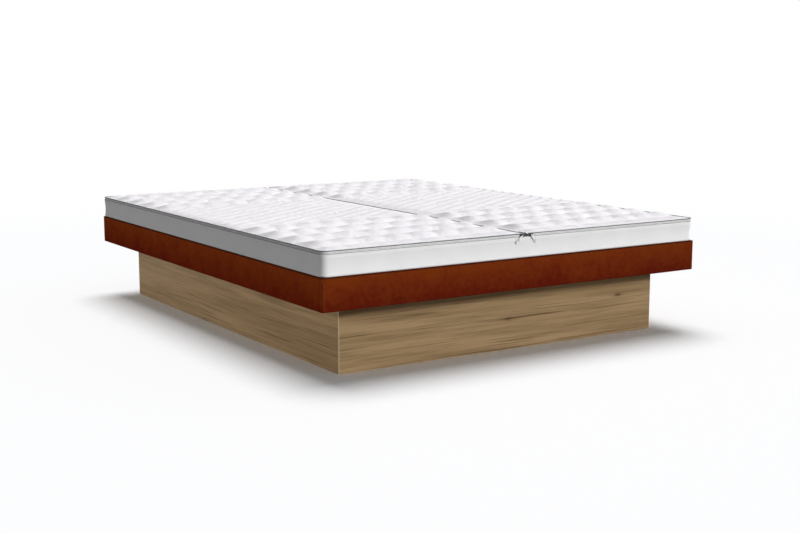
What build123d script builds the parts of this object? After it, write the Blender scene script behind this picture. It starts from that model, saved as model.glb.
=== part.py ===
from build123d import *
from math import cos, radians, sin
import os

# Softside double waterbed: a plinth of oak-look boards, a four-piece deck, rails
# clad in leatherette, and a split water mattress with two zip-on quilted covers.
# Millimetres. The origin is on the floor under the middle of the bed, +X to the
# sleeper's right, +Y to the head, +Z up. The foot end faces -Y.

# Overall sizes
bed_width = 1800.0
bed_length = 2200.0
plinth_height = 260.0
rail_height = 124.0
border_height = 80.5

# Plinth and deck boards
board_thickness = 19.0
plinth_inset_side = 130.0
plinth_inset_end = 115.0
board_corner_radius = 3.0
divider_thickness = 16.0
cross_divider_count = 3
slot_clearance = 0.3
deck_thickness = 16.0
deck_gap = 0.6

# Rails: a board core in a leatherette sleeve
rail_core_thickness = 20.0
leatherette_thickness = 2.0
rail_corner_radius = 6.0

# Mattress cover, border and foam frame
fabric_thickness = 2.5
base_sheet_thickness = 1.5
soft_gap = 0.4
border_inset = 1.0
border_corner_radius = 28.0
border_pinch = 3.0
border_hem_height = 8.5
border_curl_radius = 6.5
border_wall_clearance = 0.5
foam_frame_width = 78.0
foam_below_border = 2.8

# Layers inside the foam frame
insulation_thickness = 5.0
heater_thickness = 1.5
heater_width = 300.0
heater_length = 1200.0
liner_thickness = 0.8
liner_rim_drop = 8.0
divider_wall_width = 24.0
bladder_wall = 1.0
bladder_corner_radius = 40.0
bladder_edge_radius = 15.0
stabiliser_thickness = 22.0

# Filling valve of each bladder
valve_x_from_middle = 400.0
valve_y_from_foot = 250.0
valve_dip_radius = 38.0
valve_dip_depth = 14.0
valve_flange_radius = 30.0
valve_flange_thickness = 2.0
valve_neck_radius = 12.0
valve_bore_radius = 9.0
valve_neck_height = 8.0
cap_wall = 3.0
cap_top_thickness = 2.0
cap_clearance = 0.3
cap_grip_count = 12
cap_grip_radius = 1.6
cap_grip_depth = 1.0

# Quilted covers
quilt_columns = 8
quilt_row_pitch = 157.0
quilt_big_rows = 4
fine_zone_length = 760.0
fine_row_count = 20
quilt_seam_height = 14.0
quilt_crown = 13.0
quilt_dimple = 4.5
quilt_channel = 3.5
fine_relief = 4.0
fine_base = 6.0
quilt_scallop = 0.8
quilt_shoulder = 31.0
quilt_shoulder_share = 0.8
quilt_edge_rise = 0.5
quilt_bulge = 0.35
quilt_slope_bulge = 0.18
hem_thickness = 2.8

# Piping and zips
piping_radius = 2.0
border_piping_radius = 1.5
piping_proud = 0.5
zip_bead_height = 5.0
zip_bead_depth = 4.0
zip_bead_rounding = 1.2
zip_tape_thickness = 1.0
zip_tape_length = 5.5
zip_recess_depth = 8.5
zip_end_gap = 8.0
zip_behind_border = 0.3
centre_hem_gap = 6.5
centre_tape_width = 10.0
zip_running_gap = 0.5

# Zip sliders and their pulls
slider_length = 18.0
slider_wall = 1.3
slider_clearance = 0.35
slider_side_gap = 22.0
slider_plate_width = 12.0
slider_plate_rounding = 3.0
slider_plate_overlap = 2.0
pull_pin_radius = 1.0
pull_pin_clearance = 0.08
pull_eye_radius = 2.0
pull_eye_width = 5.0
pull_eye_lift = 0.1
pull_ear_thickness = 1.5
pull_ear_gap = 0.25
pull_length = 36.0
pull_width = 9.0
pull_thickness = 1.4
pull_slot_length = 14.0
pull_slot_width = 3.6
pull_lean = 45.0
pull_neck_length = 4.0
pull_neck_overlap = 1.5
pull_rounding = 2.5
pull_slot_margin = 5.0
centre_slider_overhang = 3.0

# Heater controls on the head board
control_spacing = 600.0
control_height_above_floor = 160.0
control_width = 124.0
control_tall = 72.0
control_depth = 38.0
control_corner_radius = 8.0
control_wall = 2.5
control_chamfer = 2.0
dial_radius = 19.0
dial_height = 11.0
dial_skirt_height = 6.5
dial_taper = 2.0
dial_grip_length = 30.0
dial_grip_width = 6.4
dial_grip_rounding = 2.5
dial_shaft_play = 0.1
dial_shaft_radius = 3.0
dial_shaft_length = 9.0
dial_gap = 0.8
dial_offset = 26.0
rocker_radius = 10.2
rocker_width = 13.0
rocker_clearance = 0.4
rocker_tilt = 8.0
rocker_proud = 1.5
rocker_offset = 32.0
gland_radius = 6.0
gland_bore_radius = 3.2
gland_length = 12.0
lead_hole_radius = 10.0

# Deck holes for the heater leads
grommet_bore_radius = 16.0
grommet_wall = 2.0
grommet_flange = 4.0
grommet_lip = 2.0
grommet_play = 0.2
lead_hole_from_head = 190.0

# Fixings
bracket_leg = 50.0
bracket_screw_offset = 30.0
bracket_screw_spacing = 80.0
bracket_height = 160.0
bracket_thickness = 2.0
screw_shank_radius = 2.0
screw_head_radius = 4.0
screw_head_height = 2.2
screw_length = 14.0
screw_play = 0.1
deck_screw_length = 40.0
deck_screw_margin = 110.0
deck_screws_per_side = 6
deck_screws_per_end = 4
plate_width = 60.0
plate_reach_out = 13.0
plate_reach_in = 27.0
plate_thickness = 2.0
plate_end_margin = 260.0
plate_rail_screw_offset = 8.0
plate_deck_screw_offset = 15.0
plates_per_side = 3
plates_per_end = 2

# Levels, from the floor up
deck_bottom = plinth_height
deck_top = deck_bottom + deck_thickness
rail_top = deck_bottom + rail_height
mattress_bottom = deck_top + base_sheet_thickness
border_bottom = rail_top + soft_gap
border_top = border_bottom + border_height
heater_bottom = mattress_bottom + insulation_thickness
liner_bottom = heater_bottom + heater_thickness
bladder_bottom = liner_bottom + liner_thickness + soft_gap
border_piping_top = border_top + 2 * border_piping_radius
zip_bead_bottom = border_piping_top + 2 * slider_clearance
zip_middle = zip_bead_bottom + zip_bead_height / 2
slider_top = zip_middle + zip_bead_height / 2 + slider_clearance + slider_wall
piping_middle = slider_top + zip_running_gap + piping_radius
foam_top = border_top - foam_below_border
quilt_bottom = foam_top + soft_gap
quilt_seam = quilt_bottom + quilt_seam_height

# Half sizes in plan
half_width = bed_width / 2
half_length = bed_length / 2
plinth_half_width = half_width - plinth_inset_side
plinth_half_length = half_length - plinth_inset_end
rail_thickness = rail_core_thickness + 2 * leatherette_thickness
border_wall_inset = rail_thickness + border_wall_clearance
foam_inset = border_wall_inset + fabric_thickness + soft_gap
foam_lip_inset = border_inset + border_pinch + fabric_thickness + soft_gap
cavity_inset = foam_inset + foam_frame_width
piping_inset = border_inset + piping_radius - piping_proud
border_piping_inset = border_inset + border_piping_radius - piping_proud
quilt_inset = piping_inset + piping_radius + soft_gap
zip_recess_inset = border_inset + zip_recess_depth
zip_inset = border_inset + fabric_thickness + zip_behind_border + zip_tape_thickness / 2

os.makedirs("parts", exist_ok=True)


def save(node, *solids):
    """Write one node, keeping its solids separate."""
    shape = solids[0] if len(solids) == 1 else Compound(children=list(solids))
    shape.label = node
    export_step(shape, f"parts/{node}.step")


def block(x0, x1, y0, y1, z0, z1):
    """A box between two opposite corners."""
    middle = Pos((x0 + x1) / 2, (y0 + y1) / 2, (z0 + z1) / 2)
    return middle * Box(abs(x1 - x0), abs(y1 - y0), abs(z1 - z0))


def slab(inset, z0, z1, radius=0.0):
    """A plate that stays one inset inside the bed's outline all round."""
    size = (bed_width - 2 * inset, bed_length - 2 * inset)
    outline = RectangleRounded(*size, radius) if radius > 0 else Rectangle(*size)
    return extrude(Pos(0, 0, z0) * outline, z1 - z0)


def corner_radius(inset):
    """Plan radius of the mattress cover's corners at an inset, all on one centre."""
    return border_corner_radius - (inset - border_inset)


def ring(outer, inner, z0, z1, outer_radius=0.0, inner_radius=0.0):
    """A frame between two insets."""
    hole = slab(inner, z0, z1, inner_radius)
    return slab(outer, z0, z1, outer_radius) - hole


def mitre(side, corner_x, corner_y, depth, z0, z1):
    """The wedge-ended space that one side of a frame keeps between its corners."""
    reach = 20.0
    across = [(-corner_x - reach, -corner_y - reach), (-corner_x + depth, -corner_y + depth)]
    if side in ("foot", "head"):
        points = across + [(-x, y) for x, y in reversed(across)]
    else:
        points = across + [(x, -y) for x, y in reversed(across)]
    if side == "head":
        points = [(x, -y) for x, y in points]
    if side == "right":
        points = [(-x, y) for x, y in points]
    outline = make_face(Polyline(*points, close=True))
    return extrude(Pos(0, 0, z0) * outline, z1 - z0)


def screw(length, up=False):
    """A countersunk screw, head at the origin, pointing down unless told up."""
    head = Pos(0, 0, -screw_head_height / 2) * Cone(
        screw_shank_radius, screw_head_radius, screw_head_height
    )
    shank = Pos(0, 0, -length / 2) * Cylinder(screw_shank_radius, length)
    body = head + shank
    return Rot(180, 0, 0) * body if up else body


def screw_hole(length, up=False):
    """The hole that such a screw fills, with a little play all round."""
    head = Pos(0, 0, -screw_head_height / 2) * Cone(
        screw_shank_radius + screw_play, screw_head_radius + screw_play, screw_head_height
    )
    shank = Pos(0, 0, -(length + screw_play) / 2) * Cylinder(
        screw_shank_radius + screw_play, length + screw_play
    )
    body = head + shank
    return Rot(180, 0, 0) * body if up else body


def cut_all(solid, cuts):
    """Take a list of small solids out of one that they reach into."""
    box = solid.bounding_box()
    near = [c for c in cuts if boxes_meet(box, c.bounding_box())]
    return solid - near if near else solid


def boxes_meet(a, b):
    """Whether two bounding boxes share any space."""
    return (
        a.min.X < b.max.X and b.min.X < a.max.X
        and a.min.Y < b.max.Y and b.min.Y < a.max.Y
        and a.min.Z < b.max.Z and b.min.Z < a.max.Z
    )


def one(shape):
    """The single solid that a shape holds."""
    return shape.solids()[0]


def sides():
    """The bed's two halves, with the sign of each one's place across the bed."""
    return (("left", -1), ("right", 1))


def spread(count, first, last):
    """Evenly spaced places from first to last, or the middle one alone."""
    if count == 1:
        return [(first + last) / 2]
    return [first + (last - first) * i / (count - 1) for i in range(count)]


# Plinth boards, the dividers that carry the deck, and the corner brackets

def bracket(sign_x, sign_y):
    """A steel angle in one inside corner of the plinth."""
    x = sign_x * (plinth_half_width - board_thickness)
    y = sign_y * (plinth_half_length - board_thickness)
    z0 = (plinth_height - bracket_height) / 2
    leg_x = block(x, x - sign_x * bracket_leg, y, y - sign_y * bracket_thickness, z0, z0 + bracket_height)
    leg_y = block(x, x - sign_x * bracket_thickness, y, y - sign_y * bracket_leg, z0, z0 + bracket_height)
    return leg_x + leg_y


def bracket_screw_places():
    """Where each bracket screw starts, and the turn that points it into its board."""
    places = []
    for sign_x in (-1, 1):
        for sign_y in (-1, 1):
            x = sign_x * (plinth_half_width - board_thickness - bracket_thickness)
            y = sign_y * (plinth_half_length - board_thickness - bracket_thickness)
            off = bracket_screw_offset
            for z in spread(2, plinth_height / 2 - bracket_screw_spacing / 2,
                            plinth_height / 2 + bracket_screw_spacing / 2):
                into_end = Pos(x - sign_x * off, y, z) * Rot(sign_y * 90, 0, 0)
                into_side = Pos(x, y - sign_y * off, z) * Rot(0, -sign_x * 90, 0)
                places += [into_end, into_side]
    return places


def build_plinth():
    """Four mitred boards round a grid of slotted dividers, held by steel angles."""
    screw_at = bracket_screw_places()
    holes = [place * screw_hole(screw_length) for place in screw_at]
    for _, sign in sides():
        middle = Pos(sign * control_spacing / 2, plinth_half_length, control_height_above_floor)
        holes.append(middle * Rot(90, 0, 0) * Cylinder(lead_hole_radius, 3 * board_thickness))
    holes += [place * screw_hole(deck_screw_length) for place in deck_screw_places()]
    outside = Rectangle(2 * plinth_half_width, 2 * plinth_half_length)
    outside = fillet(outside.vertices(), board_corner_radius)
    inside = Rectangle(
        2 * (plinth_half_width - board_thickness), 2 * (plinth_half_length - board_thickness)
    )
    frame = extrude(outside - inside, plinth_height)
    names = {"left": "plinth_side_left", "right": "plinth_side_right",
             "foot": "plinth_foot_board", "head": "plinth_head_board"}
    for side, node in names.items():
        space = mitre(side, plinth_half_width, plinth_half_length, 4 * board_thickness, 0, plinth_height)
        save(node, one(cut_all(one(frame & space), holes)))
    build_dividers(holes)
    corners = [bracket(x, y) for x in (-1, 1) for y in (-1, 1)]
    save("plinth_corner_brackets", *[one(cut_all(one(c), holes)) for c in corners])
    short = [one(place * screw(screw_length)) for place in screw_at]
    plates = plate_screw_places("rail") + plate_screw_places("deck")
    save("short_screws", *short, *[one(place * screw(screw_length, up=True)) for place in plates])


def cross_divider_rows():
    """Where the cross dividers stand along the bed."""
    inside = 2 * (plinth_half_length - board_thickness)
    pitch = inside / (cross_divider_count + 1)
    return [-inside / 2 + pitch * (i + 1) for i in range(cross_divider_count)]


def build_dividers(holes):
    """One long divider and the cross dividers, slotted half and half into each other."""
    inner_x = plinth_half_width - board_thickness
    inner_y = plinth_half_length - board_thickness
    t = divider_thickness / 2
    wide = t + slot_clearance
    half = plinth_height / 2
    long_board = block(-t, t, -inner_y, inner_y, 0, plinth_height)
    crossing = []
    for y in cross_divider_rows():
        long_board -= block(-2 * t, 2 * t, y - wide, y + wide, half - slot_clearance, plinth_height)
        board = block(-inner_x, inner_x, y - t, y + t, 0, plinth_height)
        board -= block(-wide, wide, y - 2 * t, y + 2 * t, 0, half)
        crossing.append(one(cut_all(one(board), holes)))
    save("plinth_long_divider", one(cut_all(one(long_board), holes)))
    save("plinth_cross_dividers", *crossing)


# Deck panels, their screws and the grommets for the heater leads

def deck_screw_places():
    """Countersunk screws down through the deck into the side and end boards."""
    x = plinth_half_width - board_thickness / 2
    y = plinth_half_length - board_thickness / 2
    places = []
    reach_x = x - deck_screw_margin
    reach_y = y - deck_screw_margin
    for sign in (-1, 1):
        for along in spread(deck_screws_per_side, -reach_y, reach_y):
            places.append(Pos(sign * x, along, deck_top))
        for along in spread(deck_screws_per_end, -reach_x, reach_x):
            places.append(Pos(along, sign * y, deck_top))
    return places


def lead_hole_spots():
    """Middle of each hole that a heater lead drops through."""
    y = half_length - lead_hole_from_head - rail_thickness
    return {name: (sign * control_spacing / 2, y) for name, sign in sides()}


def build_deck():
    """Four panels on the plinth, inside the rails."""
    screw_at = deck_screw_places()
    cuts = [place * screw_hole(deck_screw_length) for place in screw_at]
    cuts += [place * screw_hole(screw_length, up=True) for place in plate_screw_places("deck")]
    outer = grommet_bore_radius + grommet_wall
    for x, y in lead_hole_spots().values():
        cuts.append(Pos(x, y, deck_top) * Cylinder(outer + grommet_play, 4 * deck_thickness))
    x1 = half_width - rail_thickness
    y1 = half_length - rail_thickness
    g = deck_gap / 2
    for side, sx in sides():
        for end, sy in (("foot", -1), ("head", 1)):
            panel = block(sx * g, sx * x1, sy * g, sy * y1, deck_bottom, deck_top)
            save(f"deck_panel_{end}_{side}", one(cut_all(one(panel), cuts)))
    save("deck_screws", *[one(place * screw(deck_screw_length)) for place in screw_at])
    save("cable_grommets", *[one(grommet(x, y)) for x, y in lead_hole_spots().values()])


def grommet(x, y):
    """A plastic bush in a deck hole, with a rim under the deck."""
    r = grommet_bore_radius
    z_low = deck_bottom - grommet_lip
    tube = Cylinder(r + grommet_wall, deck_top - z_low, align=(Align.CENTER, Align.CENTER, Align.MIN))
    rim = Cylinder(r + grommet_wall + grommet_flange, grommet_lip, align=(Align.CENTER, Align.CENTER, Align.MIN))
    bore = Cylinder(r, 4 * deck_thickness)
    return Pos(x, y, z_low) * (tube + rim - bore)


# Rails: mitred cores in leatherette sleeves, and the plates that tie them to the deck

def plate_middles():
    """Middle of each steel plate under the joint of rail and deck, with its turn."""
    spots = []
    x = half_width - rail_thickness
    y = half_length - rail_thickness
    reach_x = x - plate_end_margin
    reach_y = y - plate_end_margin
    for sign in (-1, 1):
        spots += [(sign * x, along, 0) for along in spread(plates_per_side, -reach_y, reach_y)]
        spots += [(along, sign * y, 90) for along in spread(plates_per_end, -reach_x, reach_x)]
    return spots


def plate_screw_places(part):
    """Screws up through the plates: two into the rail core and two into the deck."""
    places = []
    offset = plate_rail_screw_offset if part == "rail" else -plate_deck_screw_offset
    for x, y, turn in plate_middles():
        outward = 1 if (x if turn == 0 else y) > 0 else -1
        for along in (-plate_width / 4, plate_width / 4):
            dx, dy = (outward * offset, along) if turn == 0 else (along, outward * offset)
            places.append(Pos(x + dx, y + dy, deck_bottom - plate_thickness))
    return places


def build_rails():
    """The red-brown surround: cores, sleeves, plates and screws."""
    sleeve = leatherette_thickness
    z0, z1 = deck_bottom, rail_top
    core = ring(sleeve, rail_thickness - sleeve, z0 + sleeve, z1 - sleeve, rail_corner_radius - sleeve)
    skin = ring(0, rail_thickness, z0, z1, rail_corner_radius)
    hollow = ring(sleeve, rail_thickness - sleeve, z0 + sleeve, z1 - sleeve, rail_corner_radius - sleeve)
    skin = skin - hollow
    screw_at = plate_screw_places("rail") + plate_screw_places("deck")
    holes = [place * screw_hole(screw_length, up=True) for place in screw_at]
    cores = []
    for side in ("left", "right", "foot", "head"):
        space = mitre(side, half_width, half_length, 3 * rail_thickness, z0, z1)
        cores.append(one(cut_all(one(core & space), holes)))
        save(f"rail_leatherette_{side}", one(cut_all(one(skin & space), holes)))
    save("rail_cores", *cores)
    plates = []
    for x, y, turn in plate_middles():
        outward = 1 if (x if turn == 0 else y) > 0 else -1
        plate = block(-outward * plate_reach_in, outward * plate_reach_out, -plate_width / 2, plate_width / 2,
                      deck_bottom - plate_thickness, deck_bottom)
        plates.append(one(cut_all(one(Pos(x, y, 0) * Rot(0, 0, turn) * plate), holes)))
    save("rail_fixing_plates", *plates)


# Mattress: outer cover border, foam frame and what lies inside it

def around(section, inset, half=None):
    """Sweep a section, drawn at the foot, round the bed, or round one half of it."""
    x = half_width - inset
    y = half_length - inset
    radius = corner_radius(inset)
    if half is not None:
        return sweep(section, path=half_path(half, x, y, radius, zip_end_gap))
    first = half_path(1, x, y, radius, 0)
    second = half_path(-1, x, y, radius, 0)
    return sweep(section, path=Wire(list(first.edges()) + list(second.edges())))


def half_path(side, x, y, radius, start):
    """Half of a rounded rectangle, from the middle of the foot end to the head end."""
    points = [(side * start, -y), (side * x, -y), (side * x, y), (side * start, y)]
    return FilletPolyline(*points, radius=radius)


def foot_section(outline, half=0):
    """Turn an outline of insets and heights into a face across the foot end."""
    plane = Plane(origin=(half * zip_end_gap, -half_length, 0), x_dir=(0, 1, 0), z_dir=(1, 0, 0))
    return plane * outline


def border_outline():
    """Cross section of the white border: hem, drawn-in side, curl, and inner wall."""
    t = fabric_thickness
    d = border_inset
    curl = border_curl_radius
    z_low = border_bottom
    z_hem = border_top - border_hem_height
    z_mid = (z_low + curl + z_hem) / 2
    wall = border_wall_inset
    corner = sin(radians(45)) * curl
    outer = [
        Line((wall, mattress_bottom), (wall, z_low)),
        Line((wall, z_low), (d + curl, z_low)),
        ThreePointArc((d + curl, z_low), (d + curl - corner, z_low + curl - corner), (d, z_low + curl)),
        ThreePointArc((d, z_low + curl), (d + border_pinch, z_mid), (d, z_hem)),
        Line((d, z_hem), (d, border_top)),
    ]
    inner_curl = curl - t
    corner = sin(radians(45)) * inner_curl
    inner = [
        Line((d, border_top), (d + t, border_top)),
        Line((d + t, border_top), (d + t, z_hem)),
        ThreePointArc((d + t, z_hem), (d + t + border_pinch, z_mid), (d + t, z_low + curl)),
        ThreePointArc((d + t, z_low + curl), (d + curl - corner, z_low + curl - corner), (d + curl, z_low + t)),
        Line((d + curl, z_low + t), (wall + t, z_low + t)),
        Line((wall + t, z_low + t), (wall + t, mattress_bottom)),
        Line((wall + t, mattress_bottom), (wall, mattress_bottom)),
    ]
    return make_face(outer + inner)


def build_border():
    """The plain white side of the mattress cover, its piping and its base sheet."""
    section = foot_section(border_outline())
    save("cover_border", one(around(section, border_inset)))
    spot = Pos(border_piping_inset, border_top + border_piping_radius)
    cord = foot_section(spot * Circle(border_piping_radius))
    save("border_piping", one(around(cord, border_piping_inset)))
    sheet = slab(border_wall_inset, deck_top, mattress_bottom, corner_radius(border_wall_inset))
    save("cover_base_sheet", one(cut_lead_holes(sheet)))


def cut_lead_holes(solid):
    """Open a flat layer for the heater leads."""
    for x, y in lead_hole_spots().values():
        solid -= Pos(x, y, heater_bottom) * Cylinder(grommet_bore_radius, 40)
    return solid


def build_foam_frame():
    """Four mitred foam sides whose lip rests over the rails."""
    lip_bottom = border_bottom + fabric_thickness + soft_gap
    lower = ring(foam_inset, cavity_inset, mattress_bottom, foam_top, corner_radius(foam_inset))
    lip = ring(foam_lip_inset, cavity_inset, lip_bottom, foam_top, corner_radius(foam_lip_inset))
    frame = lower + lip
    for side in ("left", "right", "foot", "head"):
        space = mitre(side, half_width, half_length, cavity_inset + 40, mattress_bottom, foam_top)
        save(f"foam_frame_{side}", one(frame & space))


def chamber(sign, gap):
    """Plan edges of one side's space inside the foam frame, drawn in by a gap."""
    x_in = divider_wall_width / 2 + gap
    x_out = half_width - cavity_inset - gap
    y = half_length - cavity_inset - gap
    return sorted((sign * x_in, sign * x_out)) + [-y, y]


def build_layers():
    """Insulation, heaters, safety liners and the foam wall between the two sides."""
    y = half_length - cavity_inset - soft_gap
    mat = block(-half_width + cavity_inset + soft_gap, half_width - cavity_inset - soft_gap,
                -y, y, mattress_bottom, heater_bottom)
    save("insulation_mat", one(cut_lead_holes(mat)))
    t = divider_wall_width / 2
    save("centre_foam_wall", one(block(-t, t, -y, y, heater_bottom, foam_top)))
    for side, sign in sides():
        x = sign * (half_width - cavity_inset + t) / 2
        w = heater_width / 2
        head_end = lead_hole_spots()[side][1] - 2 * grommet_bore_radius
        pad = block(x - w, x + w, head_end - heater_length, head_end, heater_bottom, liner_bottom)
        lead_x = lead_hole_spots()[side][0]
        tail = block(lead_x - w / 10, lead_x + w / 10, head_end, head_end + grommet_bore_radius,
                     heater_bottom, liner_bottom)
        save(f"heater_pad_{side}", one(pad + tail))
        outer = block(*chamber(sign, soft_gap), liner_bottom, foam_top - liner_rim_drop)
        inner = block(*chamber(sign, soft_gap + liner_thickness),
                      liner_bottom + liner_thickness, foam_top)
        save(f"safety_liner_{side}", one(outer - inner))
    mats = [build_bladder(side, sign) for side, sign in sides()]
    save("stabiliser_mats", *mats)


def pillow(x0, x1, y0, y1, z0, z1, corner, edge):
    """A block with round corners in plan and softly rounded long edges."""
    body = block(x0, x1, y0, y1, z0, z1)
    body = fillet(body.edges().filter_by(Axis.Z), corner)
    rims = body.edges().filter_by(lambda e: abs(e.center().Z - z0) < 0.01 or abs(e.center().Z - z1) < 0.01)
    return fillet(rims, edge)


def build_bladder(side, sign):
    """A vinyl bladder, its fibre layer, its water and its filling valve."""
    gap = 2 * soft_gap + liner_thickness
    z1 = foam_top
    plan = chamber(sign, gap)
    x, y = sign * valve_x_from_middle, -half_length + valve_y_from_foot
    dip = Pos(x, y, z1) * Cylinder(valve_dip_radius, 2 * valve_dip_depth)
    skin = pillow(*plan, bladder_bottom, z1, bladder_corner_radius, bladder_edge_radius) - dip
    w = bladder_wall
    inside = (plan[0] + w, plan[1] - w, plan[2] + w, plan[3] - w)
    room = pillow(*inside, bladder_bottom + w, z1 - w, bladder_corner_radius - w, bladder_edge_radius - w)
    room -= Pos(x, y, z1) * Cylinder(valve_dip_radius + w, 2 * (valve_dip_depth + w))
    neck = Pos(x, y, z1 - valve_dip_depth) * Cylinder(valve_bore_radius, 4 * w)
    save(f"water_bladder_{side}", one(skin - room - neck))
    build_valve(side, x, y)
    return build_water(side, inside, x, y)


def build_water(side, inside, x, y):
    """The water fill in two layers with the stabilising fibre mat between them."""
    g = soft_gap
    w = bladder_wall
    plan = (inside[0] + g, inside[1] - g, inside[2] + g, inside[3] - g)
    z0 = bladder_bottom + w + g
    z1 = foam_top - w - g
    corner, edge = bladder_corner_radius - w - g, bladder_edge_radius - w - g
    fill = pillow(*plan, z0, z1, corner, edge)
    fill -= Pos(x, y, z1) * Cylinder(valve_dip_radius + w + g, 2 * (valve_dip_depth + w))
    low = (z0 + z1) / 2 - stabiliser_thickness / 2
    high = low + stabiliser_thickness
    layer = block(*plan, low, high)
    save(f"water_fill_{side}", *(fill - layer).solids())
    return one(fill & layer)


def build_valve(side, x, y):
    """A flanged filling neck in the bladder's dip, and its screw cap."""
    base = foam_top - valve_dip_depth
    up = (Align.CENTER, Align.CENTER, Align.MIN)
    flange = Cylinder(valve_flange_radius, valve_flange_thickness, align=up)
    neck = Cylinder(valve_neck_radius, valve_flange_thickness + valve_neck_height, align=up)
    bore = Cylinder(valve_bore_radius, 4 * valve_neck_height)
    save(f"filling_valve_{side}", one(Pos(x, y, base) * (flange + neck - bore)))
    cap_low = base + valve_flange_thickness + cap_clearance
    room_top = base + valve_flange_thickness + valve_neck_height + cap_clearance
    outside = Cylinder(valve_neck_radius + cap_clearance + cap_wall, room_top - cap_low + cap_top_thickness, align=up)
    room = Cylinder(valve_neck_radius + cap_clearance, room_top - cap_low, align=up)
    cap = Pos(x, y, cap_low) * (outside - room)
    grip = cap_grips(x, y, cap_low, room_top + cap_top_thickness)
    save(f"valve_cap_{side}", one(cap - grip))


def cap_grips(x, y, z0, z1):
    """Finger grooves round a valve cap."""
    radius = valve_neck_radius + cap_clearance + cap_wall + cap_grip_radius - cap_grip_depth
    grooves = []
    for i in range(cap_grip_count):
        turn = radians(360 * i / cap_grip_count)
        spot = Pos(x + radius * cos(turn), y + radius * sin(turn), (z0 + z1) / 2)
        grooves.append(spot * Cylinder(cap_grip_radius, 2 * (z1 - z0)))
    return grooves


# Quilted covers: big soft rows at the head and foot, fine staggered cells between

def quilt_stations():
    """Places along the bed, each with the heights at column edges and at column middles."""
    half = fine_zone_length / 2
    end = half_length - quilt_inset
    stations = []
    step = fine_zone_length / fine_row_count
    for i in range(1, fine_row_count):
        high, low = fine_base + fine_relief, fine_base
        edge, middle = (low, high) if i % 2 else (high, low)
        stations.append((-half + i * step, edge, middle))
    for sign in (-1, 1):
        start = half
        for row in range(quilt_big_rows):
            stations += pillow_row(sign, start, start + quilt_row_pitch)
            start += quilt_row_pitch
        stations += pillow_row(sign, start, end)
        stations.append((sign * end, quilt_edge_rise, quilt_edge_rise + quilt_scallop / 2))
    return sorted(stations)


def pillow_row(sign, start, stop):
    """One soft row: its channel at the start, its shoulders and its crown."""
    share = quilt_shoulder_share
    high, low = quilt_crown, quilt_crown - quilt_dimple
    shoulder = min(quilt_shoulder, (stop - start) / 3)
    return [
        (sign * start, quilt_channel, quilt_channel + quilt_scallop),
        (sign * (start + shoulder), share * low, share * high),
        (sign * (start + stop) / 2, low, high),
        (sign * (stop - shoulder), share * low, share * high),
    ]


def quilt_section(y, edge, middle, sign):
    """A closed cross section of one quilted half, its top in two arcs per column."""
    x_in = centre_hem_gap
    x_out = half_width - quilt_inset
    count = 2 * quilt_columns
    xs = [sign * (x_in + (x_out - x_in) * i / count) for i in range(count + 1)]
    zs = [quilt_seam + (middle if i % 2 else edge) for i in range(count + 1)]
    zs[0] = zs[-1] = quilt_seam + quilt_edge_rise
    lines = [Line((xs[0], y, quilt_bottom), (xs[0], y, zs[0]))]
    for i in range(count):
        bulge = quilt_bulge + quilt_slope_bulge * abs(zs[i + 1] - zs[i])
        mid = ((xs[i] + xs[i + 1]) / 2, y, (zs[i] + zs[i + 1]) / 2 + bulge)
        lines.append(ThreePointArc((xs[i], y, zs[i]), mid, (xs[i + 1], y, zs[i + 1])))
    lines.append(Line((xs[-1], y, zs[-1]), (xs[-1], y, quilt_bottom)))
    lines.append(Line((xs[-1], y, quilt_bottom), (xs[0], y, quilt_bottom)))
    return Wire([line.edge() for line in lines])


def build_quilt(side, sign):
    """One quilted half, cut back for the zips and rounded at its two outer corners."""
    wires = [quilt_section(y, edge, middle, sign) for y, edge, middle in quilt_stations()]
    body = Solid.make_loft(wires, ruled=True)
    top = quilt_seam + 2 * quilt_crown
    body = body & slab(quilt_inset, quilt_bottom - 1, top, corner_radius(quilt_inset))
    body = body - ring(0, zip_recess_inset, quilt_bottom - 1, piping_middle - piping_radius,
                       0, corner_radius(zip_recess_inset))
    reach = centre_hem_gap + centre_tape_width
    body = body - block(-reach, reach, -half_length, half_length, quilt_bottom - 1, quilt_seam - hem_thickness)
    save(f"top_cover_{side}", one(body))


def build_top_piping():
    """The thick welt round the outer edge of each quilted half."""
    welts = []
    for _, sign in sides():
        cord = foot_section(Pos(piping_inset, piping_middle) * Circle(piping_radius), sign)
        welts.append(one(around(cord, piping_inset, sign)))
    save("top_piping", *welts)


# Zip chains: a bead on a tape, so that an open-sided slider can run along it

def build_perimeter_chain(side, sign):
    """One half's perimeter zip: the bead stands on a tape behind the border's hem."""
    bead = RectangleRounded(zip_bead_depth, zip_bead_height, zip_bead_rounding)
    tape_bottom = zip_bead_bottom - zip_tape_length
    tape = Rectangle(zip_tape_thickness, zip_middle - tape_bottom)
    tape_middle = (zip_middle + tape_bottom) / 2
    outline = Pos(zip_inset, zip_middle) * bead + Pos(zip_inset, tape_middle) * tape
    save(f"perimeter_zip_{side}", one(around(foot_section(outline, sign), zip_inset, sign)))


def centre_zip_height():
    """Height of the centre zip's bead middle, just under the covers' hems."""
    return quilt_seam - hem_thickness - zip_tape_thickness / 2 - soft_gap


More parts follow.
